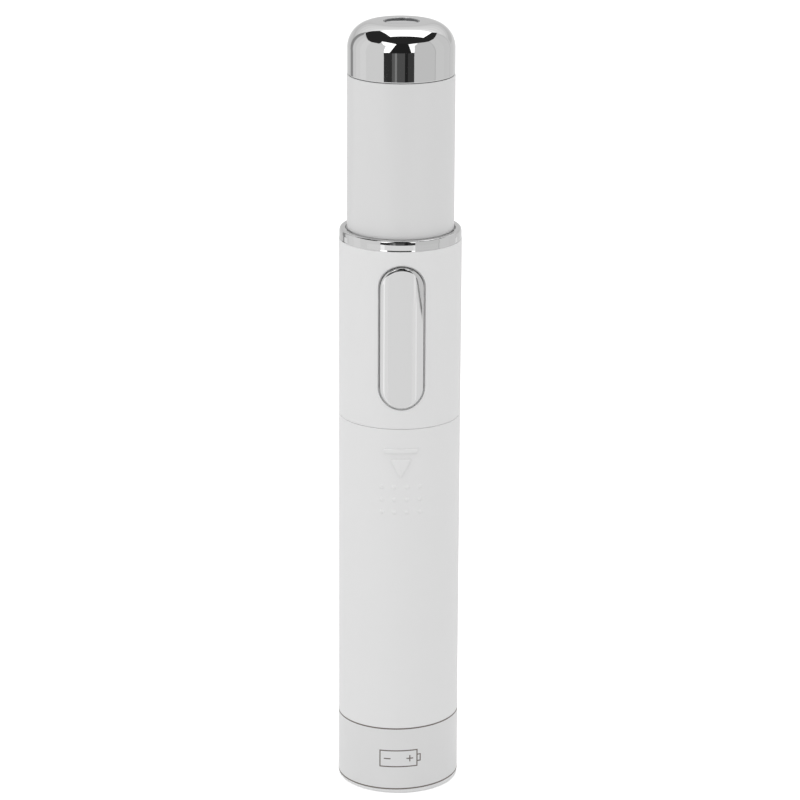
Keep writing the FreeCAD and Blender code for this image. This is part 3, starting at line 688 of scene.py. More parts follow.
@dataclass
class BatteryCover:
    """Long white cup with its opening mark, grip bumps and label; it carries the negative contact."""

    radius: float = 10.5
    bore: float = 9.0
    floor: float = 2.0
    mouth: float = 67.15
    base_rounding: float = 0.3
    mouth_rounding: float = 0.1
    inner_rounding: float = 0.3
    ribs: int = 6
    rib_reach: float = 7.6
    rib_width: float = 1.0
    rib_top: float = 56.4
    rib_root: float = 0.2
    rib_rounding: float = 0.3
    bar: Mark = Mark(5.8, 62.94, 63.72, 0.12, 0.07)
    arrow: Mark = Mark(3.6, 58.5, 61.83, 0.14, 0.09)
    mark_aside: float = -0.1
    mark_rise: float = 0.3
    bump_rows: tuple[float, ...] = (56.78, 54.52, 52.26)
    bump_azimuths: tuple[float, ...] = (-18.392, -6.413, 5.566, 17.908)
    bump_radius: float = 0.62
    bump_rise: float = 0.16
    label_low: float = 0.75
    label_high: float = 12.38
    label_tilt: float = 0.018
    film: float = 0.05
    film_rounding: float = 0.02
    border: float = 0.24
    border_inset: float = 0.02
    ink: float = 0.012
    ink_root: float = 0.02
    # the sign's outline as left, right, low and high, its tip as end, low and high, and its poles' two ends
    sign_can: tuple[float, float, float, float] = (-3.6, 3.2, 5.0, 8.2)
    sign_tip: tuple[float, float, float] = (3.8, 5.9, 7.3)
    sign_plus: tuple[float, float] = (1.2, 2.4)
    sign_minus: tuple[float, float] = (-2.8, -1.6)
    sign_line: float = 0.2
    spring_wire: float = 0.3
    spring_turns: float = 3.5
    # radius and height of the coil's two ends
    spring_foot: Point = (3.9, 2.6)
    spring_tip: Point = (2.6, 7.15)
    spring_steps: int = 32
    wire_sides: int = 12
    body: str = "cover"

    def build(self) -> None:
        """Make every piece of the cover."""
        self.cup()
        self.opening_mark()
        self.grip_bumps()
        self.label()
        self.spring()

    def cup(self) -> None:
        """Turned cup with rounded base and mouth, and the ribs that centre the cell."""
        shell = lathe([
            Corner(0, 0),
            Corner(self.radius, 0, self.base_rounding, steps=6),
            Corner(self.radius, self.mouth, self.mouth_rounding, steps=3),
            Corner(self.bore, self.mouth, self.inner_rounding, steps=4),
            Corner(self.bore, self.floor, self.inner_rounding, steps=4),
            Corner(0, self.floor),
        ])
        ribs = [turned(self.rib(), 360 / self.ribs * number) for number in range(self.ribs)]
        piece(join([shell] + ribs), "battery_cover_cup", WHITE_ABS, self.body, ["battery_cover"])

    def rib(self) -> BMesh:
        """Make an upright rib on the bore, with a rounded top.

        Returns:
            The rib that lies at +X.
        """
        rib = bmesh.new()
        bmesh.ops.create_cube(rib, size=1)
        depth = self.bore + self.rib_root - self.rib_reach
        tall = self.rib_top - self.floor + self.rib_root
        bmesh.ops.scale(rib, verts=rib.verts, vec=(depth, self.rib_width, tall))
        middle = Vector((self.rib_reach + depth / 2, 0, self.floor - self.rib_root + tall / 2))
        bmesh.ops.translate(rib, verts=rib.verts, vec=middle)
        top = [edge for edge in rib.edges if all(vert.co.z > self.floor for vert in edge.verts)]
        soften(rib, top, self.rib_rounding)
        return rib

    def opening_mark(self) -> None:
        """Bar and arrow head in low relief that show which way the cover comes off."""
        aside, marks = self.mark_aside, []
        for mark in (self.bar, self.arrow):
            left, right = aside - mark.width / 2, aside + mark.width / 2
            outline = rectangle(left, right, mark.low, mark.high)
            if mark is self.arrow:
                outline = ((aside, mark.low), (right, mark.high), (left, mark.high))
            marks.append(raised_plate(outline, mark.rounding, self.mark_rise, mark.edge, self.radius))
        piece(join(marks), "opening_mark", WHITE_ABS, self.body)

    def grip_bumps(self) -> None:
        """Columns of low round bumps, a row for each height."""
        out = self.radius + self.bump_rise - self.bump_radius
        bumps = []
        for row in self.bump_rows:
            for azimuth in self.bump_azimuths:
                bump = bmesh.new()
                bmesh.ops.create_uvsphere(bump, u_segments=20, v_segments=12, radius=self.bump_radius)
                bmesh.ops.translate(bump, verts=bump.verts, vec=(0, -out, row))
                bumps.append(turned(bump, azimuth))
        piece(join(bumps), "grip_bumps", WHITE_ABS, self.body)

    def label(self) -> None:
        """Film round the foot with a printed border, and a cell's outline where its text would be."""
        low, high, out = self.label_low, self.label_high, self.radius + self.film
        inner, edge = self.radius - self.film, self.film_rounding
        film = lathe([
            Corner(inner, low), Corner(out, low, edge, steps=2), Corner(out, high, edge, steps=2),
            Corner(inner, high)])
        self.tilt(film)
        piece(film, "label_film", LABEL_FILM, self.body)
        root, face = out - self.ink_root, out + self.ink
        lines = []
        for foot in (low + self.border_inset, high - self.border_inset - self.border):
            outline = rectangle(root, face, foot, foot + self.border)
            lines.append(lathe([Corner(*point) for point in outline]))
        ink = join(lines + self.cell_sign(out))
        self.tilt(ink)
        piece(ink, "label_print", LABEL_INK, self.body)

    def tilt(self, mesh: BMesh) -> None:
        """Set the label a little askew, higher on the wand's right."""
        for vert in mesh.verts:
            vert.co.z += self.label_tilt * vert.co.x

    def cell_sign(self, radius: float) -> list[BMesh]:
        """Draw the outline of a round cell with a plus and a minus.

        Args:
            radius: radius of the film's face.

        Returns:
            Its thin strips of ink.
        """
        left, right, low, high = self.sign_can
        tip, tip_low, tip_high = self.sign_tip
        first, last = self.sign_plus
        centre, middle, arm = (first + last) / 2, (low + high) / 2, (last - first) / 2
        line, half = self.sign_line, self.sign_line / 2
        strips = [
            (left, right, low, low + line), (left, right, high - line, high),
            (left, left + line, low, high), (right - line, right, low, high),
            (right, tip, tip_low, tip_low + line), (right, tip, tip_high - line, tip_high),
            (tip - line, tip, tip_low, tip_high),
            (*self.sign_plus, middle - half, middle + half),
            (centre - half, centre + half, middle - arm, middle + arm),
            (*self.sign_minus, middle - half, middle + half),
        ]
        return [raised_plate(rectangle(*strip), 0, self.ink, 0, radius) for strip in strips]

    def spring(self) -> None:
        """Conical coil of round wire, pressed down by the cell."""
        (foot, low), (tip, high) = self.spring_foot, self.spring_tip
        coil = bmesh.new()
        bmesh.ops.create_circle(coil, cap_ends=False, segments=self.wire_sides, radius=self.spring_wire)
        turned(coil, 90, "X")
        bmesh.ops.translate(coil, verts=coil.verts, vec=(foot, 0, low))
        count = round(self.spring_turns * self.spring_steps)
        bmesh.ops.spin(coil, geom=coil.verts[:] + coil.edges[:], cent=(0, 0, 0), axis=(0, 0, 1),
                       dvec=(0, 0, (high - low) / count), angle=math.tau * self.spring_turns, steps=count,
                       use_merge=False, use_duplicate=False)
        for vert in coil.verts:
            climbed = min(max((vert.co.z - low) / (high - low), 0), 1)
            outwards = Vector((vert.co.x, vert.co.y, 0)).normalized()
            vert.co += outwards * (tip - foot) * climbed
        bmesh.ops.holes_fill(coil, edges=coil.edges[:], sides=self.wire_sides)
        bmesh.ops.recalc_face_normals(coil, faces=coil.faces)
        piece(coil, "negative_spring_coil", NICKEL, self.body, ["negative_spring"])


# ---- the cell ----------------------------------------------------------------------------------------


@dataclass
class Cell:
    """Single AA cell: a jacketed can and its positive button."""

    radius: float = 7.25
    bottom: float = 7.55
    length: float = 50.5
    foot: float = 6.15
    groove: float = 6.35
    groove_depth: float = 0.25
    heel: float = 6.75
    heel_rise: float = 0.5
    shoulder: float = 6.05
    sink: float = 5.85
    sink_depth: float = 0.3
    crease: float = 0.1
    heel_rounding: float = 0.15
    foot_rounding: float = 0.3
    shoulder_rounding: float = 0.6
    button: float = 2.75
    button_rounding: float = 0.35
    button_steps: int = 64
    rise: float = 1.3
    body: str = "cell"

    def build(self) -> None:
        """Make the can and the button."""
        top = self.bottom + self.length
        shoulder = top - self.rise
        sink = shoulder - self.sink_depth
        can = lathe([
            Corner(0, self.bottom),
            Corner(self.foot, self.bottom),
            Corner(self.groove, self.bottom + self.groove_depth, self.crease, steps=2),
            Corner(self.heel, self.bottom, self.heel_rounding, steps=3),
            Corner(self.radius, self.bottom + self.heel_rise, self.foot_rounding, steps=4),
            Corner(self.radius, shoulder, self.shoulder_rounding, steps=6),
            Corner(self.shoulder, shoulder, self.crease, steps=2),
            Corner(self.sink, sink, self.crease, steps=2),
            Corner(0, sink),
        ])
        piece(can, "cell_can_jacket", JACKET, self.body, ["cell_can"])
        button = lathe([
            Corner(0, sink), Corner(self.button, sink),
            Corner(self.button, top, self.button_rounding, steps=5), Corner(0, top)], self.button_steps)
        piece(button, "cell_positive_button", NICKEL, self.body, ["cell_button"])


# ---- upper housing and button ------------------------------------------------------------------------


@dataclass
class UpperHousing:
    """White tube with the button's oblong window and softly broken edges."""

    radius: float = 10.5
    bore: float = 8.9
    low: float = 67.2
    high: float = 98.3
    edge_rounding: float = 0.1
    edge_angle: float = 50.0
    window_width: float = 7.98
    window_length: float = 25.36
    window_middle: float = 83.25
    lip_root: float = 0.06
    lip_reach: float = 0.24
    lip_depth: float = 0.5
    lip_height: float = 0.4
    front: float = 6.0
    arc_steps: int = 32
    side_steps: int = 14
    rings: int = 5
    body: str = "housing"

    def build(self) -> None:
        """Make the tube as one closed wall."""
        wall = self.front_sheet()
        self.close_back(wall)
        self.thicken(wall)
        piece(join([wall, self.window_lip()]), "upper_housing_shell", WHITE_ABS, self.body,
              ["upper_housing"])

    def window_lip(self) -> BMesh:
        """Make a narrow lip round the window, under its edge, that nearly closes the gap beside the button.

        Returns:
            The closed lip.
        """
        root = self.lip_root
        lip = oblong_loop(self.window_width + 2 * root, self.window_length + 2 * root, self.window_middle,
                          self.arc_steps, self.side_steps, filled=True)
        inner = lip.faces[:]
        bmesh.ops.inset_region(lip, faces=inner, thickness=root + self.lip_reach, depth=0,
                               use_even_offset=True, use_boundary=True)
        bmesh.ops.delete(lip, geom=inner, context="FACES")
        for vert in lip.verts:
            vert.co.y = -math.sqrt((self.radius - self.lip_depth) ** 2 - vert.co.x ** 2)
        for vert in new_verts(bmesh.ops.extrude_face_region(lip, geom=lip.faces[:], use_keep_orig=True)):
            vert.co.y += self.lip_height
        bmesh.ops.recalc_face_normals(lip, faces=lip.faces)
        return lip

    def front_sheet(self) -> BMesh:
        """Make the front as a curved sheet with the window in it.

        Returns:
            The sheet, up to the four edges of the front.
        """
        sheet = oblong_loop(self.window_width, self.window_length, self.window_middle, self.arc_steps,
                            self.side_steps)
        rim = set(sheet.verts)
        for vert in new_verts(bmesh.ops.extrude_edge_only(sheet, edges=sheet.edges[:])):
            vert.co = self.border_point(vert.co)
        spokes = [edge for edge in sheet.edges if (edge.verts[0] in rim) != (edge.verts[1] in rim)]
        bmesh.ops.subdivide_edges(sheet, edges=spokes, cuts=self.rings - 1, use_grid_fill=True)
        for vert in sheet.verts:
            vert.co.y = -math.sqrt(self.radius ** 2 - vert.co.x ** 2)
        return sheet

    def border_point(self, point: Vector) -> Vector:
        """Find the point of the front's border that belongs to a point round the window.

        Args:
            point: the point round the window.

        Returns:
            The border's point.
        """
        reach = (self.window_length - self.window_width) / 2
        across, up = point.x, point.z - self.window_middle
        side = math.copysign(self.front, across)
        if abs(up) <= reach + NEAR:
            return Vector((side, 0, point.z))
        angle = math.atan2(abs(up) - reach, abs(across))
        limit = (self.high if up > 0 else self.low) - self.window_middle
        corner = math.copysign(reach, up)
        if angle <= math.pi / 4 + NEAR:
            return Vector((side, 0, self.window_middle + corner + (limit - corner) * math.tan(angle)))
        return Vector((side / math.tan(angle), 0, self.window_middle + limit))

    def close_back(self, wall: BMesh) -> None:
        """Spin the front's right side round the back to its left side.

        Args:
            wall: the front's sheet, which grows to the full tube.
        """
        start = math.asin(self.front / self.radius)
        right = [vert for vert in wall.verts if abs(vert.co.x - self.front) < MERGE]
        edges = [edge for edge in wall.edges if edge.verts[0] in right and edge.verts[1] in right]
        bmesh.ops.spin(wall, geom=right + edges, cent=(0, 0, 0), axis=(0, 0, 1), dvec=(0, 0, 0),
                       angle=math.tau - 2 * start, steps=round(AROUND * (1 - start / math.pi)),
                       use_merge=False, use_duplicate=False)
        bmesh.ops.remove_doubles(wall, verts=wall.verts, dist=10 * MERGE)
        bmesh.ops.recalc_face_normals(wall, faces=wall.faces)

    def thicken(self, wall: BMesh) -> None:
        """Add the bore, keeping the window's sides square to the front, and break the outer edges.

        Args:
            wall: the tube's outer sheet, which gets its thickness.
        """
        inner = new_verts(bmesh.ops.extrude_face_region(wall, geom=wall.faces[:], use_keep_orig=True))
        outer_edge = math.asin(self.front / self.radius)
        inner_edge = math.asin(self.front / self.bore)
        for vert in inner:
            if abs(vert.co.x) <= self.front + MERGE and vert.co.y < 0:
                vert.co.y = -math.sqrt(self.bore ** 2 - vert.co.x ** 2)
                continue
            angle = abs(math.atan2(vert.co.x, -vert.co.y))
            share = (angle - outer_edge) / (math.pi - outer_edge)
            angle = math.copysign(inner_edge + share * (math.pi - inner_edge), vert.co.x)
            vert.co = Vector((self.bore * math.sin(angle), -self.bore * math.cos(angle), vert.co.z))
        bmesh.ops.recalc_face_normals(wall, faces=wall.faces)
        halfway = (self.radius + self.bore) / 2
        rims = [edge for edge in wall.edges
                if len(edge.link_faces) == 2 and edge.calc_face_angle() > math.radians(self.edge_angle)
                and all(math.hypot(vert.co.x, vert.co.y) > halfway for vert in edge.verts)]
        soften(wall, rims, self.edge_rounding)


def oblong_loop(width: float, length: float, middle: float, arc_steps: int, side_steps: int,
                filled: bool = False) -> BMesh:
    """Draw an upright outline with full-round ends in the XZ plane.

    Args:
        width: its width.
        length: its length.
        middle: height of its middle.
        arc_steps: straight pieces in each round end.
        side_steps: pieces in each straight side.
        filled: whether it gets a face.

    Returns:
        The mesh with the outline.
    """
    mesh = bmesh.new()
    bmesh.ops.create_circle(mesh, cap_ends=filled, segments=2 * arc_steps, radius=width / 2)
    turned(mesh, 90, "X")
    first = mesh.verts[:][0]
    turned(mesh, math.degrees(math.atan2(first.co.z, first.co.x)), "Y")
    # the two points beside the middle are doubled, a sliver of an edge apart, and the halves are moved apart
    sliver = 0.01
    for vert in [vert for vert in mesh.verts if abs(vert.co.z) < MERGE]:
        under = min(vert.link_edges, key=lambda edge: edge.other_vert(vert).co.z)
        bmesh.utils.edge_split(under, vert, sliver)
    upper = [vert for vert in mesh.verts if vert.co.z > -MERGE]
    lower = [vert for vert in mesh.verts if vert.co.z <= -MERGE]
    for vert in lower:
        if vert.co.z > -2 * sliver * width:
            vert.co = Vector((math.copysign(width / 2, vert.co.x), vert.co.y, 0))
    reach = (length - width) / 2
    bmesh.ops.translate(mesh, verts=upper, vec=(0, 0, middle + reach))
    bmesh.ops.translate(mesh, verts=lower, vec=(0, 0, middle - reach))
    sides = [edge for edge in mesh.edges if edge.calc_length() > reach]
    bmesh.ops.subdivide_edges(mesh, edges=sides, cuts=side_steps - 1)
    return mesh


@dataclass
class PowerButton:
    """Long chromed button: it follows the body's curve, with crisp sides and softly rounded ends."""

    width: float = 7.38
    length: float = 24.75
    middle: float = 83.25
    top_radius: float = 10.85
    side_radius: float = 0.25
    soft_radius: float = 1.15
    soft_turn: float = 18.0
    hard_radius: float = 0.3
    back: float = 7.3
    arc_steps: int = 40
    side_steps: int = 30
    # rings of points from the rim inwards: two close ones, even ones over the rounding, and wide ones
    rim_insets: tuple[float, ...] = (0.015, 0.035)
    edge_inset: float = 0.03
    edge_rings: int = 20
    face_insets: tuple[float, ...] = (0.66, 0.75, 1.0, 1.5, 2.1, 2.8, 3.4)
    body: str = "power_button"

    def build(self) -> None:
        """Make the cap by insets from its rim to its middle."""
        cap = oblong_loop(self.width, self.length, self.middle, self.arc_steps, self.side_steps, filled=True)
        inner = cap.faces[:]
        edge_insets = tuple(self.edge_inset * number for number in range(2, self.edge_rings + 1))
        last = 0.0
        for inset in self.rim_insets + edge_insets + self.face_insets:
            bmesh.ops.inset_region(cap, faces=inner, thickness=inset - last, depth=0, use_even_offset=True,
                                   use_boundary=True)
            last = inset
        rim = [vert for vert in cap.verts if self.inset_of(vert.co) < MERGE]
        for vert in cap.verts:
            out = self.top_radius - self.fall(vert.co)
            vert.co.y = -math.sqrt(out ** 2 - vert.co.x ** 2)
        edges = [edge for edge in cap.edges if all(vert in rim for vert in edge.verts)]
        for vert in new_verts(bmesh.ops.extrude_edge_only(cap, edges=edges)):
            vert.co.y = -self.back
        bmesh.ops.holes_fill(cap, edges=cap.edges[:], sides=0)
        bmesh.ops.recalc_face_normals(cap, faces=cap.faces)
        piece(cap, "button_cap_chromed", CHROME, self.body, ["button_cap"], crease=55)

    def beyond(self, point: Vector) -> float:
        """Return how far a point lies in one of the round ends."""
        return max(0.0, abs(point.z - self.middle) - (self.length - self.width) / 2)

    def inset_of(self, point: Vector) -> float:
        """Return a point's distance from the cap's outline."""
        return self.width / 2 - math.hypot(point.x, self.beyond(point))

    def fall(self, point: Vector) -> float:
        """Find how far the edge lies under the cap's full curve; the sides' profile turns into the ends'.

        Args:
            point: a point of the cap.

        Returns:
            Its fall.
        """
        inset, beyond = self.inset_of(point), self.beyond(point)
        share = beyond ** 2 / (beyond ** 2 + point.x ** 2) if beyond else 0.0
        return (1 - share) * self.round_fall(inset, self.side_radius) + share * self.end_fall(inset)

    @staticmethod
    def round_fall(inset: float, radius: float) -> float:
        """Return the fall of a quarter-round edge of this radius, at this distance from the outline."""
        short = max(0.0, radius - inset)
        return radius - math.sqrt(max(0.0, radius ** 2 - short ** 2))

    def end_fall(self, inset: float) -> float:
        """Find the fall of an edge that starts with a wide soft curve and ends with a tight one.

        Args:
            inset: distance from the outline.

        Returns:
            The fall there.
        """
        turn = math.radians(self.soft_turn)
        tight = self.hard_radius * (1 - math.sin(turn))
        whole = tight + self.soft_radius * math.sin(turn)
        if inset >= tight:
            return self.round_fall(self.soft_radius - max(0.0, whole - inset), self.soft_radius)
        top = self.soft_radius * (1 - math.cos(turn)) + self.hard_radius * math.cos(turn)
        return top - math.sqrt(max(0.0, self.hard_radius ** 2 - (self.hard_radius - inset) ** 2))


# ---- ring, sleeve and head ---------------------------------------------------------------------------


@dataclass
class CollarRing:
    """Chromed ring between the housing and the sleeve."""

    radius: float = 10.5
    face: float = 10.44
    flare: float = 0.22
    foot_rounding: float = 0.03
    soft_radius: float = 2.2
    soft_turn: float = 14.0
    soft_run_in: float = 0.04
    hard_radius: float = 0.35
    inner: float = 9.4
    inner_rounding: float = 0.12
    bore: float = 8.9
    low: float = 98.3
    high: float = 100.14
    shelf: float = 0.8
    body: str = "housing"

    def build(self) -> None:
        """Turn the ring with a slight flare at its foot and a top edge that starts soft and ends tight."""
        turn = math.radians(self.soft_turn)
        start = self.high - self.soft_radius * math.sin(turn) - self.hard_radius * (1 - math.sin(turn))
        middle = (self.face - self.soft_radius, start)
        apart = self.soft_radius - self.hard_radius
        tight = (middle[0] + apart * math.cos(turn), middle[1] + apart * math.sin(turn))
        ring = lathe([
            Corner(self.bore, self.low),
            Corner(self.radius, self.low, self.foot_rounding, steps=2),
            Corner(self.face, self.low + self.flare),
            Corner(self.face, start - self.soft_run_in),
            *arc(middle, self.soft_radius, 0, self.soft_turn, steps=8),
            *arc(tight, self.hard_radius, self.soft_turn, 90, steps=9)[1:],
            Corner(self.inner, self.high, self.inner_rounding, steps=4),
            Corner(self.inner, self.low + self.shelf),
            Corner(self.bore, self.low + self.shelf),
        ])
        piece(ring, "collar_ring_chromed", CHROME, self.body, ["collar_ring"], crease=12)


@dataclass
class MassageHead:
    """White sleeve, chromed dome and the round contact in its crown, which a grey bush lines."""

    sleeve_radius: float = 9.15
    sleeve_bore: float = 7.6
    sleeve_foot: float = 97.6
    sleeve_top: float = 126.6
    foot_radius: float = 8.85
    foot_top: float = 99.1
    neck_radius: float = 8.95
    neck_top: float = 100.1
    neck_rounding: float = 0.05
    sleeve_rounding: float = 0.12
    dome_radius: float = 9.1
    dome_bottom: float = 126.67
    dome_rounding: float = 0.22
    dome_apex: float = 135.55
    crown_radius: float = 300.0
    shoulder_radius: float = 4.4
    socket_bore: float = 6.6
    socket_radius: float = 7.55
    socket_foot: float = 122.0
    hollow_radius: float = 8.1
    hollow_foot: float = 127.9
    hollow_top: float = 131.9
    ceiling_radius: float = 5.7
    ceiling: float = 134.3
    recess_radius: float = 3.05
    recess_depth: float = 0.21
    recess_margin: float = 0.2
    recess_rounding: float = 0.05
    contact_radius: float = 2.8
    contact_height: float = 1.6
    contact_rounding: float = 0.1
    bush_gap: float = 0.02
    bush_drop: float = 0.05
    bush_edge: float = 0.03
    bush_inner_edge: float = 0.05
    body: str = "housing"

    def build(self) -> None:
        """Make the sleeve, the dome and the contact."""
        self.sleeve()
        self.dome()
        self.contact()

    def crown_height(self, radius: float) -> float:
        """Return the height of the crown at a distance from the axis."""
        return self.dome_apex - self.crown_radius + math.sqrt(self.crown_radius ** 2 - radius ** 2)

    def sleeve(self) -> None:
        """Plain sleeve with its neck inside the ring."""
        tube = lathe([
            Corner(self.sleeve_bore, self.sleeve_foot),
            Corner(self.foot_radius, self.sleeve_foot),
            Corner(self.foot_radius, self.foot_top),
            Corner(self.neck_radius, self.foot_top),
            Corner(self.neck_radius, self.neck_top),
            Corner(self.sleeve_radius, self.neck_top, self.neck_rounding, steps=2),
            Corner(self.sleeve_radius, self.sleeve_top, self.sleeve_rounding, steps=4),
            Corner(self.sleeve_bore, self.sleeve_top),
        ])
        piece(tube, "head_sleeve_moulded", SLEEVE_ABS, self.body, ["head_sleeve"])

    def dome(self) -> None:
        """Upright wall, round shoulder and nearly flat crown, with the recess for the contact."""
        axis = self.dome_radius - self.shoulder_radius
        apart = self.crown_radius - self.shoulder_radius
        middle = self.dome_apex - self.crown_radius
        shoulder_rise = math.sqrt(apart ** 2 - axis ** 2)
        touch = math.degrees(math.atan2(shoulder_rise, axis))
        edge = math.degrees(math.acos((self.recess_radius + self.recess_margin) / self.crown_radius))
        shell = lathe([
            Corner(self.socket_bore, self.socket_foot),
            Corner(self.socket_radius, self.socket_foot),
            Corner(self.socket_radius, self.dome_bottom),
            Corner(self.dome_radius, self.dome_bottom, self.dome_rounding, steps=6),
            *arc((axis, middle + shoulder_rise), self.shoulder_radius, 0, touch, steps=28),
            *arc((0, middle), self.crown_radius, touch, edge, steps=4)[1:],
            Corner(self.recess_radius, self.crown_height(self.recess_radius), self.recess_rounding, steps=4),
            Corner(self.recess_radius, self.ceiling),
            Corner(self.ceiling_radius, self.ceiling),
            Corner(self.hollow_radius, self.hollow_top),
            Corner(self.hollow_radius, self.hollow_foot),
            Corner(self.socket_bore, self.hollow_foot),
        ])
        piece(shell, "massage_head_dome", CHROME, self.body, ["massage_head"])

    def contact(self) -> None:
        """Plated disc at the bottom of the recess, in its grey bush."""
        rim = self.crown_height(self.recess_radius)
        top, lip = rim - self.recess_depth, rim - self.bush_drop
        foot = top - self.contact_height
        disc = lathe([
            Corner(0, foot), Corner(self.contact_radius, foot),
            Corner(self.contact_radius, top, self.contact_rounding, steps=4), Corner(0, top)], AROUND_SMALL)
        piece(disc, "center_contact_disc", CONTACT_CHROME, self.body, ["center_electrode"])
        outer = self.recess_radius - self.bush_gap
        bush = lathe([
            Corner(self.contact_radius, foot), Corner(outer, foot),
            Corner(outer, lip, self.bush_edge, steps=2),
            Corner(self.contact_radius, lip, self.bush_inner_edge, steps=3)], AROUND_SMALL)
        piece(bush, "contact_bush", BUSH_NYLON, self.body, ["electrode_insulator"])


# ---- parts that stay as they were built --------------------------------------------------------------


@dataclass
class InnerWorks:
    """Finishes of the solids that keep their own shape, and the sealing ring."""

    finishes: dict[str, Finish] = field(default_factory=lambda: {
        "spring_plate": NICKEL, "contact_strip": NICKEL, "positive_contact": NICKEL,
        "transfer_contact": NICKEL, "head_seal": GASKET, "thermal_pad": GASKET, "heater_ring": ALUMINA,
        "heater_carrier": BLACK_NYLON, "button_carrier": INNER_ABS, "switch_body": BLACK_NYLON,
        "switch_plunger": BLACK_NYLON, "chassis": INNER_ABS, "motor_boot": RUBBER, "motor_can": STEEL,
        "motor_end_cap": BLACK_NYLON, "motor_shaft": STEEL, "eccentric_weight": BRASS,
        "circuit_board": LAMINATE, "controller_chip": BLACK_NYLON, "boost_inductor": FERRITE,
        "board_capacitors": ALUMINA, "battery_leads": INSULATION, "motor_leads": INSULATION,
        "heater_leads": INSULATION, "electrode_lead": INSULATION,
    })
    seal_low: float = 64.3
    seal_high: float = 65.5
    seal_inner: float = 7.8
    seal_outer: float = 8.95
    seal_inner_rounding: float = 0.35
    seal_outer_rounding: float = 0.5

    def build(self) -> None:
        """Dress the solids and round the sealing ring."""
        for name, finish in self.finishes.items():
            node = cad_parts[name]
            node.data.materials.clear()
            node.data.materials.append(finish.material())
            LOG.info("%s dressed in %s", name, finish.name)
        ring = lathe([
            Corner(self.seal_inner, self.seal_low, self.seal_inner_rounding, steps=4),
            Corner(self.seal_outer, self.seal_low, self.seal_outer_rounding, steps=6),
            Corner(self.seal_outer, self.seal_high, self.seal_outer_rounding, steps=6),
            Corner(self.seal_inner, self.seal_high, self.seal_inner_rounding, steps=4),
        ])
        piece(ring, "cover_seal_ring", RUBBER, "housing", ["cover_seal"])


# ---- studio ------------------------------------------------------------------------------------------


class Wall(Enum):
    """A wall of the light tent, with its distance from the wand's axis, or its ceiling's height."""

    FRONT = -300.0
    BACK = 262.0
    LEFT = -340.0
    RIGHT = 327.0
    CEILING = 581.0

    def point(self, across: float, up: float, proud: float) -> Vector:
        """Return a point of this wall.

        Args:
            across: its place along X on the front, back and ceiling, and along Y on the sides.
            up: its height, or its place along Y on the ceiling.
            proud: how far in front of the wall it is.

        Returns:
            The point, in metres.
        """
        away = self.value - math.copysign(proud, self.value)
        if self in (Wall.LEFT, Wall.RIGHT):
            return Vector((away, across, up)) * MM
        if self is Wall.CEILING:
            return Vector((across, up, away)) * MM
        return Vector((across, away, up)) * MM


@dataclass(frozen=True)
class Card:
    """One panel of the light tent, or a card that hangs in front of it; only mirrors see it."""

    name: str
    radiance: float
    spots: tuple[Vector, ...]

    def hang(self) -> None:
        """Make the card."""
        material = bpy.data.materials.new(self.name)
        tree = empty_tree(material)
        glow = add_node(tree, "ShaderNodeEmission", {"Color": WHITE, "Strength": self.radiance})
        add_node(tree, "ShaderNodeOutputMaterial", {"Surface": glow.outputs["Emission"]})
        mesh = bmesh.new()
        mesh.faces.new([mesh.verts.new(spot) for spot in self.spots])
        made = link_mesh(mesh, self.name, material)
        made.visible_camera = False
        made.visible_diffuse = False
        made.visible_shadow = False
        made.visible_volume_scatter = False


def on_wall(name: str, wall: Wall, radiance: float, corners: Sequence[Point], proud: float = 0.0) -> Card:
    """Return a card with these corners on a wall, or proud of it."""
    return Card(name, radiance, tuple(wall.point(*corner, proud) for corner in corners))


def flap(name: str, radiance: float, feet: Sequence[Point], low: Point, high: Point) -> Card:
    """Return an upright card over the floor line between two feet.

    Args:
        name: the card's name.
        radiance: how bright it is.
        feet: the two ends of the floor line.
        low: height of the lower edge at either end.
        high: height of the upper edge.

    Returns:
        The card.
    """
    (x0, y0), (x1, y1) = feet
    corners = ((x0, y0, low[0]), (x1, y1, low[1]), (x1, y1, high[1]), (x0, y0, high[0]))
    return Card(name, radiance, tuple(Vector(corner) * MM for corner in corners))


def floor_patch(name: str, radiance: float, turns: Point, reach: Point, lift: float) -> Card:
    """Return a card just over the floor.

    Args:
        name: the card's name.
        radiance: how bright it is.
        turns: the azimuths of its two sides.
        reach: the distances of its two ends from the axis.
        lift: its height.

    Returns:
        The card.
    """
    spots = []
    for turn, away in ((0, 0), (0, 1), (1, 1), (1, 0)):
        angle = math.radians(turns[turn])
        spots.append(Vector((reach[away] * math.sin(angle), -reach[away] * math.cos(angle), lift)) * MM)
    return Card(name, radiance, tuple(spots))


@dataclass(frozen=True)
class Softbox:
    """A square lamp: its size, its place and the height that it looks at in metres, its power in watts."""

    name: str
    size: float
    power: float
    spot: tuple[float, float, float]
    aim: float = 0.07

    def hang(self) -> None:
        """Make the lamp, looking at the middle of the wand and unseen in mirrors."""
        data = bpy.data.lights.new(self.name, "AREA")
        data.shape = "SQUARE"
        data.size = self.size
        data.energy = self.power
        made = link(self.name, data)
        ahead = Vector((0, 0, self.aim)) - Vector(self.spot)
        made.location = self.spot
        made.rotation_euler = ahead.to_track_quat("-Z", "Y").to_euler()
        made.visible_glossy = False
        made.visible_camera = False


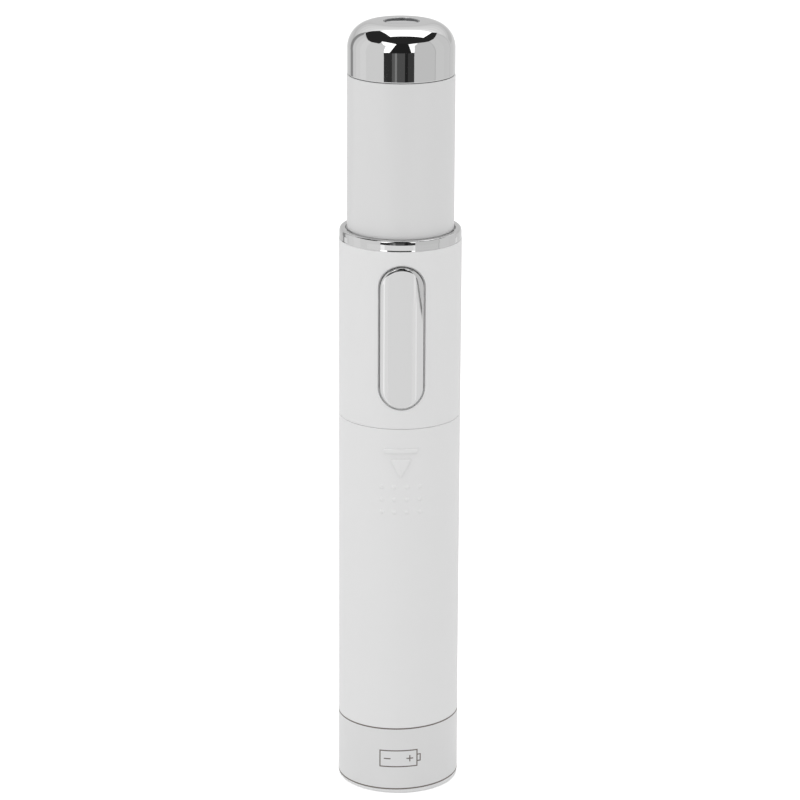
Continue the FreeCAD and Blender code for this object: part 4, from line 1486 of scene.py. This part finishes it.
@dataclass
class Studio:
    """Pale floor, soft light, the light tent that the chromed pieces mirror, and the camera."""

    camera_distance: float = 554.75
    camera_height: float = 239.71
    camera_aside: float = 0.075
    camera_pitch: float = 17.084
    camera_roll: float = 0.29
    camera_azimuth: float = -1.8
    focal_length: float = 150.97
    sensor: float = 36.0
    # in metres
    camera_near: float = 0.02
    camera_far: float = 50.0
    floor_size: float = 8.0
    floor_colour: str = "ECECEC"
    floor_glow: float = 0.45
    mirror_glow: float = 0.26
    tent: float = 0.85
    fill: float = 0.78
    overhead: Softbox = Softbox("overhead_softbox", 1.2, 2.6, (0.1, -0.25, 1.1))
    left: Softbox = Softbox("left_softbox", 0.9, 1.25, (-1.0, -0.45, 0.45))
    window: float = 2.2
    opening_low: float = 47.0
    opening_high: float = 164.0
    foot_height: float = 28.0
    hem_height: float = 2.6
    # height from which the outlines overhead were laid out, as shares of the ceiling's height over it
    outlook: float = 131.0

    def build(self) -> None:
        """Set up the whole studio."""
        bpy.context.scene.view_settings.view_transform = "Standard"
        self.camera()
        self.floor()
        self.world()
        hangings = [self.overhead, self.left, *self.front_cards(), *self.right_flaps(), *self.floor_cards(),
                    *self.side_cards(), *self.back_cards(), *self.ceiling_cards()]
        for hanging in hangings:
            hanging.hang()

    def camera(self) -> None:
        """Place the camera: a long lens that looks down at the wand."""
        pitch, roll = math.radians(self.camera_pitch), math.radians(self.camera_roll)
        ahead = Vector((0, math.cos(pitch), -math.sin(pitch)))
        level_right, level_up = Vector((1, 0, 0)), Vector((0, math.sin(pitch), math.cos(pitch)))
        right = level_right * math.cos(roll) + level_up * math.sin(roll)
        up = level_up * math.cos(roll) - level_right * math.sin(roll)
        turn = Matrix((right, up, -ahead)).transposed().to_4x4()
        spot = Vector((self.camera_aside, -self.camera_distance, self.camera_height)) * MM
        data = bpy.data.cameras.new("camera")
        data.sensor_fit = "HORIZONTAL"
        data.sensor_width = self.sensor
        data.lens = self.focal_length
        data.clip_start = self.camera_near
        data.clip_end = self.camera_far
        made = link("camera", data)
        round_wand = Matrix.Rotation(math.radians(self.camera_azimuth), 4, "Z")
        made.matrix_world = round_wand @ Matrix.Translation(spot) @ turn
        bpy.context.scene.camera = made

    def floor(self) -> None:
        """White paper: it keeps the wand's shadow and reaches white for the camera and in mirrors."""
        material = bpy.data.materials.new("White_studio_paper")
        tree = empty_tree(material)
        path = add_node(tree, "ShaderNodeLightPath")
        lift = add_node(tree, "ShaderNodeMath", {
            0: mirrored_rays(tree, path), 1: self.mirror_glow}, operation="MULTIPLY")
        lift = add_node(tree, "ShaderNodeMath", {
            0: path.outputs["Is Camera Ray"], 1: self.floor_glow, 2: lift.outputs["Value"]},
            operation="MULTIPLY_ADD")
        paper = add_node(tree, "ShaderNodeBsdfDiffuse", {"Color": linear(self.floor_colour)})
        glow = add_node(tree, "ShaderNodeEmission", {"Color": WHITE, "Strength": lift.outputs["Value"]})
        both = add_node(tree, "ShaderNodeAddShader", {0: paper.outputs["BSDF"], 1: glow.outputs["Emission"]})
        add_node(tree, "ShaderNodeOutputMaterial", {"Surface": both.outputs["Shader"]})
        mesh = bmesh.new()
        bmesh.ops.create_grid(mesh, x_segments=1, y_segments=1, size=self.floor_size / 2)
        link_mesh(mesh, "floor", material)

    def world(self) -> None:
        """White all round: full white for the camera, the tent's level in mirrors, less as fill light."""
        world = bpy.data.worlds.new("light_tent")
        bpy.context.scene.world = world
        tree = empty_tree(world)
        path = add_node(tree, "ShaderNodeLightPath")
        level = add_node(tree, "ShaderNodeMapRange", {
            "Value": mirrored_rays(tree, path), "To Min": self.fill, "To Max": self.tent})
        level = add_node(tree, "ShaderNodeMapRange", {
            "Value": path.outputs["Is Camera Ray"], "To Min": level.outputs["Result"], "To Max": 1.0})
        sky = add_node(tree, "ShaderNodeBackground", {"Color": WHITE, "Strength": level.outputs["Result"]})
        add_node(tree, "ShaderNodeOutputWorld", {"Surface": sky.outputs["Background"]})

    def front_cards(self) -> list[Card]:
        """List the tent's front: its dark opening with what shows through it, and the windows over it.

        Returns:
            The cards.
        """
        low, high = self.opening_low, self.opening_high
        ground, foot = (0, 0), (self.foot_height, self.foot_height)
        streaks = [(-240, -115, 0.044), (-115, -79, 0.15), (-79, -56, 0.31), (-56, 31, 0.115),
                   (31, 65, 0.024), (65, 143, 0.062)]
        dark = ((-243, high), (145, high), (144, 176), (103, 178), (95, 284), (89, 434), (90, 470),
                (-80, 470), (-79.5, 434), (-100, 340), (-119, 261), (-135, 210), (-150, 174), (-242, 169))
        left = ((-242, 168), (-140, 168), (-70, 434), (-480, 771), (-474, 700), (-256, 370))
        right = ((98, 176), (144, 176), (174, 372), (284, 542), (85, 434))
        cards = [on_wall(f"opening_{number}", Wall.FRONT, level, rectangle(first, last, low, high))
                 for number, (first, last, level) in enumerate(streaks)]
        return cards + [
            on_wall("over_opening", Wall.FRONT, 0.022, dark, proud=1),
            on_wall("window_left", Wall.FRONT, self.window, left),
            on_wall("window_right", Wall.FRONT, self.window * 0.85, right),
            on_wall("table_edge_left", Wall.FRONT, 1.4, rectangle(-243, -180, 2, low)),
            on_wall("table_edge_right", Wall.FRONT, 1.2, rectangle(123, 146, 2, low)),
            flap("front_left", 0.96, ((-240, -302), (-340, -150)), foot, (400, 398)),
            flap("front_left_foot", 1.02, ((-240, -302), (-340, -150)), ground, foot),
            flap("flap_left_foot", 0.6, ((-206, -286), (-196, -276)), ground, (2.4, 2.4)),
        ]

    def right_flaps(self) -> list[Card]:
        """List the folded cloth at the front's right, with its lighter foot and its dark hem.

        Returns:
            The cards.
        """
        folds = ((143, -350), (171, -306), (194, -262), (209, -236), (327, -105))
        tops = (330, 372, 405, 430, 426)
        hem = [(across - 0.5, back + 1) for across, back in folds[:-1]]
        ground, foot = (0, 0), (self.foot_height, self.foot_height)
        cards = []
        for start in range(len(folds) - 1):
            end = start + 2
            cards.append(flap(f"front_right_{start}", 0.82, folds[start:end], foot, tops[start:end]))
            cards.append(flap(f"front_right_low_{start}", 0.85, folds[start:end], ground, foot))
        for start in range(len(hem) - 1):
            high = (self.hem_height, self.hem_height)
            cards.append(flap(f"flap_foot_{start}", 0.2, hem[start:start + 2], ground, high))
        return cards

    @staticmethod
    def floor_cards() -> list[Card]:
        """List the two lighter stripes that lead from the wand to the front, each with a brighter core.

        Returns:
            The cards.
        """
        return [
            floor_patch("stripe_left", 1.12, (-34, -22), (100, 372), 0.3),
            floor_patch("stripe_left_middle", 1.4, (-31, -28.6), (100, 372), 0.5),
            floor_patch("stripe_right", 1.12, (20, 28), (100, 335), 0.3),
            floor_patch("stripe_right_middle", 1.25, (25.6, 27.8), (100, 335), 0.5),
        ]

    @staticmethod
    def side_cards() -> list[Card]:
        """List the tent's sides, in strips with slanting tops, with a dark seam at their foot.

        Returns:
            The cards.
        """
        left = [(-150, -52, 0.96, 398, 370), (-52, 50, 1.03, 370, 372), (50, 140, 0.98, 372, 400),
                (140, 235, 0.9, 400, 430), (235, 262, 0.5, 430, 440)]
        right = [(-105, -98, 0.82, 426, 425), (-98, -84, 0.7, 425, 420), (-84, 60, 0.9, 420, 410),
                 (60, 208, 0.87, 410, 445), (208, 236, 0.76, 445, 450), (236, 262, 0.9, 450, 450)]
        cards = [
            on_wall("seam_left", Wall.LEFT, 0.6, rectangle(-60, -48, 0, 5), proud=1),
            on_wall("seam_right", Wall.RIGHT, 0.4, rectangle(-100, -86, 0, 9), proud=1),
        ]
        for wall, strips in ((Wall.LEFT, left), (Wall.RIGHT, right)):
            for number, (first, last, level, top, end_top) in enumerate(strips):
                corners = ((first, 0), (last, 0), (last, end_top), (first, top))
                cards.append(on_wall(f"side_{wall.name.lower()}_{number}", wall, level, corners))
        return cards

    @staticmethod
    def back_cards() -> list[Card]:
        """List the tent's back, lighter towards its top, with a dim post at its left.

        Returns:
            The cards.
        """
        layers = [(-340, 327, 0, 150, 0.85), (-340, 327, 150, 230, 0.72), (-340, 327, 230, 275, 0.84),
                  (-340, 327, 275, 340, 0.96), (-340, 327, 340, 434, 1.05), (-265, 292, 434, 450, 1.12)]
        cards = [on_wall(f"back_{number}", Wall.BACK, level, rectangle(*layer))
                 for number, (*layer, level) in enumerate(layers)]
        return cards + [
            on_wall("post_left", Wall.BACK, 0.36, rectangle(-340, -253, 0, 434), proud=1),
            on_wall("post_left_edge", Wall.BACK, 0.55, rectangle(-253, -232, 0, 200), proud=1),
            on_wall("back_dim", Wall.BACK, 0.78, rectangle(-232, -111, 0, 190), proud=1),
            on_wall("back_top", Wall.BACK, 1.25, ((-240, 450), (292, 450), (300, 528), (-180, 528))),
        ]

    def ceiling_cards(self) -> list[Card]:
        """List the overhead softbox and its black surround.

        Returns:
            The cards.
        """
        height = Wall.CEILING.value - self.outlook
        black = ((-0.896, 0.856), (-0.559, 0.723), (-0.351, 0.59), (0.688, 0.587), (0.921, 0.825),
                 (1.242, -0.137), (0.966, -0.498), (0.689, -0.714), (0.294, -0.969), (0.28, -1.05),
                 (-0.25, -1.05), (-0.261, -0.97), (-0.748, -0.459), (-0.973, -0.612), (-1.105, -0.629),
                 (-1.518, -0.069))
        white = ((-0.351, 0.6), (-0.29, -0.114), (0.629, -0.085), (0.688, 0.597), (0.076, 0.66))
        surround, box = (tuple((x * height, y * height) for x, y in outline) for outline in (black, white))
        return [on_wall("black_overhead", Wall.CEILING, 0.03, surround),
                on_wall("overhead_box", Wall.CEILING, self.window, box, proud=2)]


def main() -> None:
    """Build the wand and its studio."""
    logging.basicConfig(level=logging.INFO, format="%(name)s %(message)s")
    builders: list[Callable[[], None]] = [
        Studio().build, BatteryCover().build, Cell().build, UpperHousing().build, PowerButton().build,
        CollarRing().build, MassageHead().build, InnerWorks().build,
    ]
    for build in builders:
        build()


if __name__ == "__main__":
    main()
